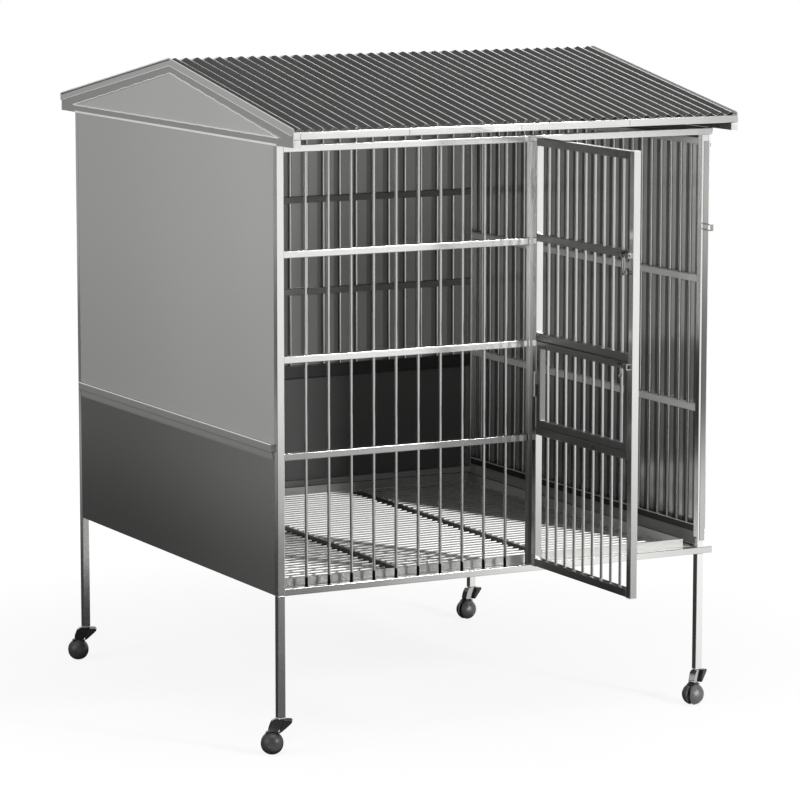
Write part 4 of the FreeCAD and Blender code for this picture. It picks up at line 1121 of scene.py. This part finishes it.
finishes = {
    "left_upper_sheet": upper_sheet, "left_lower_sheet": lower_sheet, "gable_sheets": gable_sheet,
    "rear_upper_sheet": rear_sheet, "rear_lower_sheet": dark_sheet, "right_pan": pan_sheet,
    "left_rails": tube_steel, "floor_ledgers": ledge_steel, "floor_lip": lip_steel, "floor_beams": beam_steel,
    "rake_tubes": gable_tube, "rake_trims": rake_trim,
    "door_hinge_fixed": bright_steel, "door_keeper": bright_steel, "door_hinge_halves": bright_steel,
    "bolt_guides": bright_steel, "hatch_keeper": bright_steel, "hatch_fittings": bright_steel,
    "door_bolt": bright_steel, "hatch_bolt": bright_steel, "post_bolts": bright_steel,
    "tube_plugs": plug_plastic, "door_plugs": plug_plastic, "castor_sockets": plug_plastic,
}
for node, material in finishes.items():
    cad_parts[node].data.materials.clear()
    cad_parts[node].data.materials.append(material)


# Studio
def studio_mesh(name, corners, material):
    """Flat four-cornered card of the studio."""
    mesh = bpy.data.meshes.new(name)
    mesh.from_pydata(corners, [], [(0, 1, 2, 3)])
    mesh.materials.append(material)
    card = bpy.data.objects.new(name, mesh)
    bpy.context.scene.collection.objects.link(card)
    return card


def seen_plainly(tree):
    """One for rays that come straight from the camera, a mirror or a lens."""
    path = tree.nodes.new("ShaderNodeLightPath")
    first = math_node(tree, "MAXIMUM", path.outputs["Is Camera Ray"], path.outputs["Is Glossy Ray"])
    return math_node(tree, "MAXIMUM", first, path.outputs["Is Transmission Ray"])


def matt_material(name, tone, rough):
    """Plain matt material of the studio, with its tree, shader and coordinates."""
    material, tree, shader, coord = new_material(name)
    shader.inputs["Base Color"].default_value = (tone, tone, tone, 1.0)
    shader.inputs["Roughness"].default_value = rough
    shader.inputs["Specular IOR Level"].default_value = 0.0
    return material, tree, shader, coord


def floor_material():
    """Pale floor: a matt grey that keeps shadows, lifted towards the backdrop's white where it is seen,
    more so far from the cage."""
    material, tree, shader, coord = matt_material("studio_floor", FLOOR_TONE, 0.9)
    shader.inputs["Emission Color"].default_value = (1.0, 1.0, 1.0, 1.0)
    reach = tree.nodes.new("ShaderNodeVectorMath")
    reach.operation = "LENGTH"
    tree.links.new(coord.outputs["Object"], reach.inputs[0])
    lift = eased(tree, reach.outputs["Value"], 0.8, 3.0, FLOOR_NEAR, FLOOR_FAR)
    tree.links.new(math_node(tree, "MULTIPLY", seen_plainly(tree), lift), shader.inputs["Emission Strength"])
    return material


def felt_material(name, cover, falls=()):
    """Dark felt of a studio flag. Each fall is (x, y, start, end, rest): along that direction the felt
    thins smoothly from its full cover to the rest of it."""
    material, tree, shader, coord = matt_material(name, FELT_TONE, 1.0)
    clear = tree.nodes.new("ShaderNodeBsdfTransparent")
    mix = tree.nodes.new("ShaderNodeMixShader")
    tree.links.new(clear.outputs[0], mix.inputs[1])
    tree.links.new(shader.outputs[0], mix.inputs[2])
    tree.links.new(mix.outputs[0], tree.nodes["Material Output"].inputs["Surface"])
    total = cover
    for x, y, start, end, rest in falls:
        across = math_node(tree, "ADD", math_node(tree, "MULTIPLY", one_axis(tree, coord, "x"), x),
                           math_node(tree, "MULTIPLY", one_axis(tree, coord, "y"), y))
        total = math_node(tree, "MULTIPLY", eased(tree, across, start, end, 1.0, rest), total)
    feed(tree, mix.inputs["Fac"], total)
    return material


def level_card(x0, x1, y0, y1, z):
    """Corners of a flat card at one height."""
    return [(x0, y0, z), (x1, y0, z), (x1, y1, z), (x0, y1, z)]


def flags():
    """Dark flags that only reflections see."""
    deep = felt_material("studio_deep_felt", 0.96, [(-0.46, 0.876, 2.0, 5.5, 0.70)])
    felt = felt_material("studio_felt", 0.92)
    half = felt_material("studio_half_felt", 0.62)
    thin = felt_material("studio_thin_felt", 0.88,
                         [(1.0, 0.435, -0.80, 0.60, 0.0), (0.0, -1.0, 2.2, 7.2, 0.0)])
    cards = (("flag_floor", level_card(-7.0, HALF_W, -0.45, 9.0, 0.003), deep),
             ("flag_back", [(-7.0, 3.0, 0.0), (-0.9, 6.5, 0.0), (-0.9, 6.5, 3.5), (-7.0, 3.0, 3.5)], half),
             ("flag_left", [(-3.2, -2.5, 0.0), (-3.2, 4.0, 0.0), (-3.2, 4.0, 4.0), (-3.2, -2.5, 4.0)], felt),
             ("flag_front", level_card(-4.0, 4.2, -7.3, -0.6, 0.004), thin),
             ("flag_ahead", [(-5.0, -6.8, 1.3), (7.0, -6.8, 1.3), (7.0, -2.0, 5.6), (-5.0, -2.0, 5.6)], felt),
             ("flag_top", [(-3.0, 4.2, 4.0), (2.3, 4.2, 4.0), (3.4, 1.0, 5.2), (-3.0, 1.0, 5.2)], felt),
             ("flag_top_low", [(-3.0, 4.2, 2.8), (1.5, 4.2, 2.8), (2.3, 4.2, 4.0), (-3.0, 4.2, 4.0)], half))
    for name, corners, material in cards:
        card = studio_mesh(name, corners, material)
        card.visible_camera = False
        card.visible_diffuse = False
        card.visible_shadow = False
        card.visible_transmission = False


def surround():
    """White surround where it is seen, and a low even light elsewhere."""
    world = bpy.data.worlds.new("studio_surround")
    bpy.context.scene.world = world
    world.use_nodes = True
    tree = world.node_tree
    sky = tree.nodes["Background"]
    sky.inputs["Color"].default_value = (1.0, 1.0, 1.0, 1.0)
    strength = math_node(tree, "MULTIPLY", seen_plainly(tree), 1.0 - AMBIENT)
    tree.links.new(math_node(tree, "ADD", strength, AMBIENT), sky.inputs["Strength"])


def lamp(name, spot, target, size, power):
    """Square soft lamp aimed at a point."""
    data = bpy.data.lights.new(name, "AREA")
    data.size = size
    data.energy = power
    light = bpy.data.objects.new(name, data)
    light.location = spot
    light.rotation_euler = (Vector(target) - Vector(spot)).to_track_quat("-Z", "Y").to_euler()
    bpy.context.scene.collection.objects.link(light)
    return light


def lit_by(light, names, state):
    """Makes a lamp light only the named pieces, or all but them."""
    subjects = bpy.data.collections.new(light.name + "_subjects")
    for name in names:
        subjects.objects.link(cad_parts.get(name) or bpy.data.objects[name])
    for item in subjects.collection_objects:
        item.light_linking.link_state = state
    light.light_linking.receiver_collection = subjects


def lamps():
    """Soft lamps on the whole cage, and others for the mats, the rear wall or the right wheels alone."""
    front_right = (2.22, -4.7, 2.6)
    key = lamp("key_lamp", front_right, (0.0, 0.0, 0.7), 0.6, 170.0)
    fill = lamp("fill_lamp", (-5.5, -0.6, 2.6), (0.0, 0.1, 0.9), 3.0, 138.0)
    side = lamp("side_lamp", (-4.2, -6.0, 2.8), (0.5, 0.2, 0.9), 2.0, 160.0)
    side.visible_glossy = False
    mats = ["floor_wires", "under_sheet"]
    for light in (key, fill, side):
        lit_by(light, mats, "EXCLUDE")
    tall = lamp("mat_lamp", front_right, (0.0, 0.0, 0.5), 0.2, 430.0)
    tall.data.shape = "RECTANGLE"
    tall.data.size_y = 1.3
    lit_by(tall, mats, "INCLUDE")
    rear = lamp("rear_lamp", (-0.5, -3.2, 1.3), (-0.4, 0.85, 1.3), 1.0, 640.0)
    rear.visible_camera = False
    rear.visible_glossy = False
    lit_by(rear, ["rear_upper_sheet", "rear_tubes"], "INCLUDE")
    low = lamp("castor_lamp", (0.9, -4.5, 0.9), (0.6, 0.2, 0.05), 2.4, 330.0)
    low.visible_camera = False
    lit_by(low, ["ball_wheel_front_right", "ball_wheel_rear_right"], "INCLUDE")
    lamp("top_lamp", (0.3, -1.5, 5.5), (0.0, 0.2, 0.9), 2.5, 50.0)
    lamp("back_lamp", (3.5, 4.5, 3.3), (0.0, 0.0, 1.0), 3.0, 40.0)


def camera():
    """Long lens from the front left and a little above, at the photograph's place."""
    data = bpy.data.cameras.new("view")
    data.sensor_width = SENSOR
    data.lens = FOCAL_PIXELS / PICTURE_PIXELS * SENSOR
    data.clip_end = 100.0
    cam = bpy.data.objects.new("view", data)
    level = math.cos(VIEW_FALL)
    ahead = Vector((-math.sin(VIEW_TURN) * level, math.cos(VIEW_TURN) * level, -math.sin(VIEW_FALL)))
    right = Vector((math.cos(VIEW_TURN), math.sin(VIEW_TURN), 0.0))
    up = right.cross(ahead)
    x = right * math.cos(VIEW_ROLL) + up * math.sin(VIEW_ROLL)
    y = up * math.cos(VIEW_ROLL) - right * math.sin(VIEW_ROLL)
    cam.matrix_world = Matrix((x, y, -ahead)).transposed().to_4x4()
    cam.location = Vector(VIEW_SPOT) + Vector(MIDDLE)
    bpy.context.scene.collection.objects.link(cam)
    bpy.context.scene.camera = cam


ground = level_card(-FLOOR_HALF, FLOOR_HALF, -FLOOR_HALF, FLOOR_HALF, 0.0)
studio_mesh("studio_floor", ground, floor_material())
flags()
surround()
lamps()
camera()
bpy.context.scene.view_settings.view_transform = "Standard"
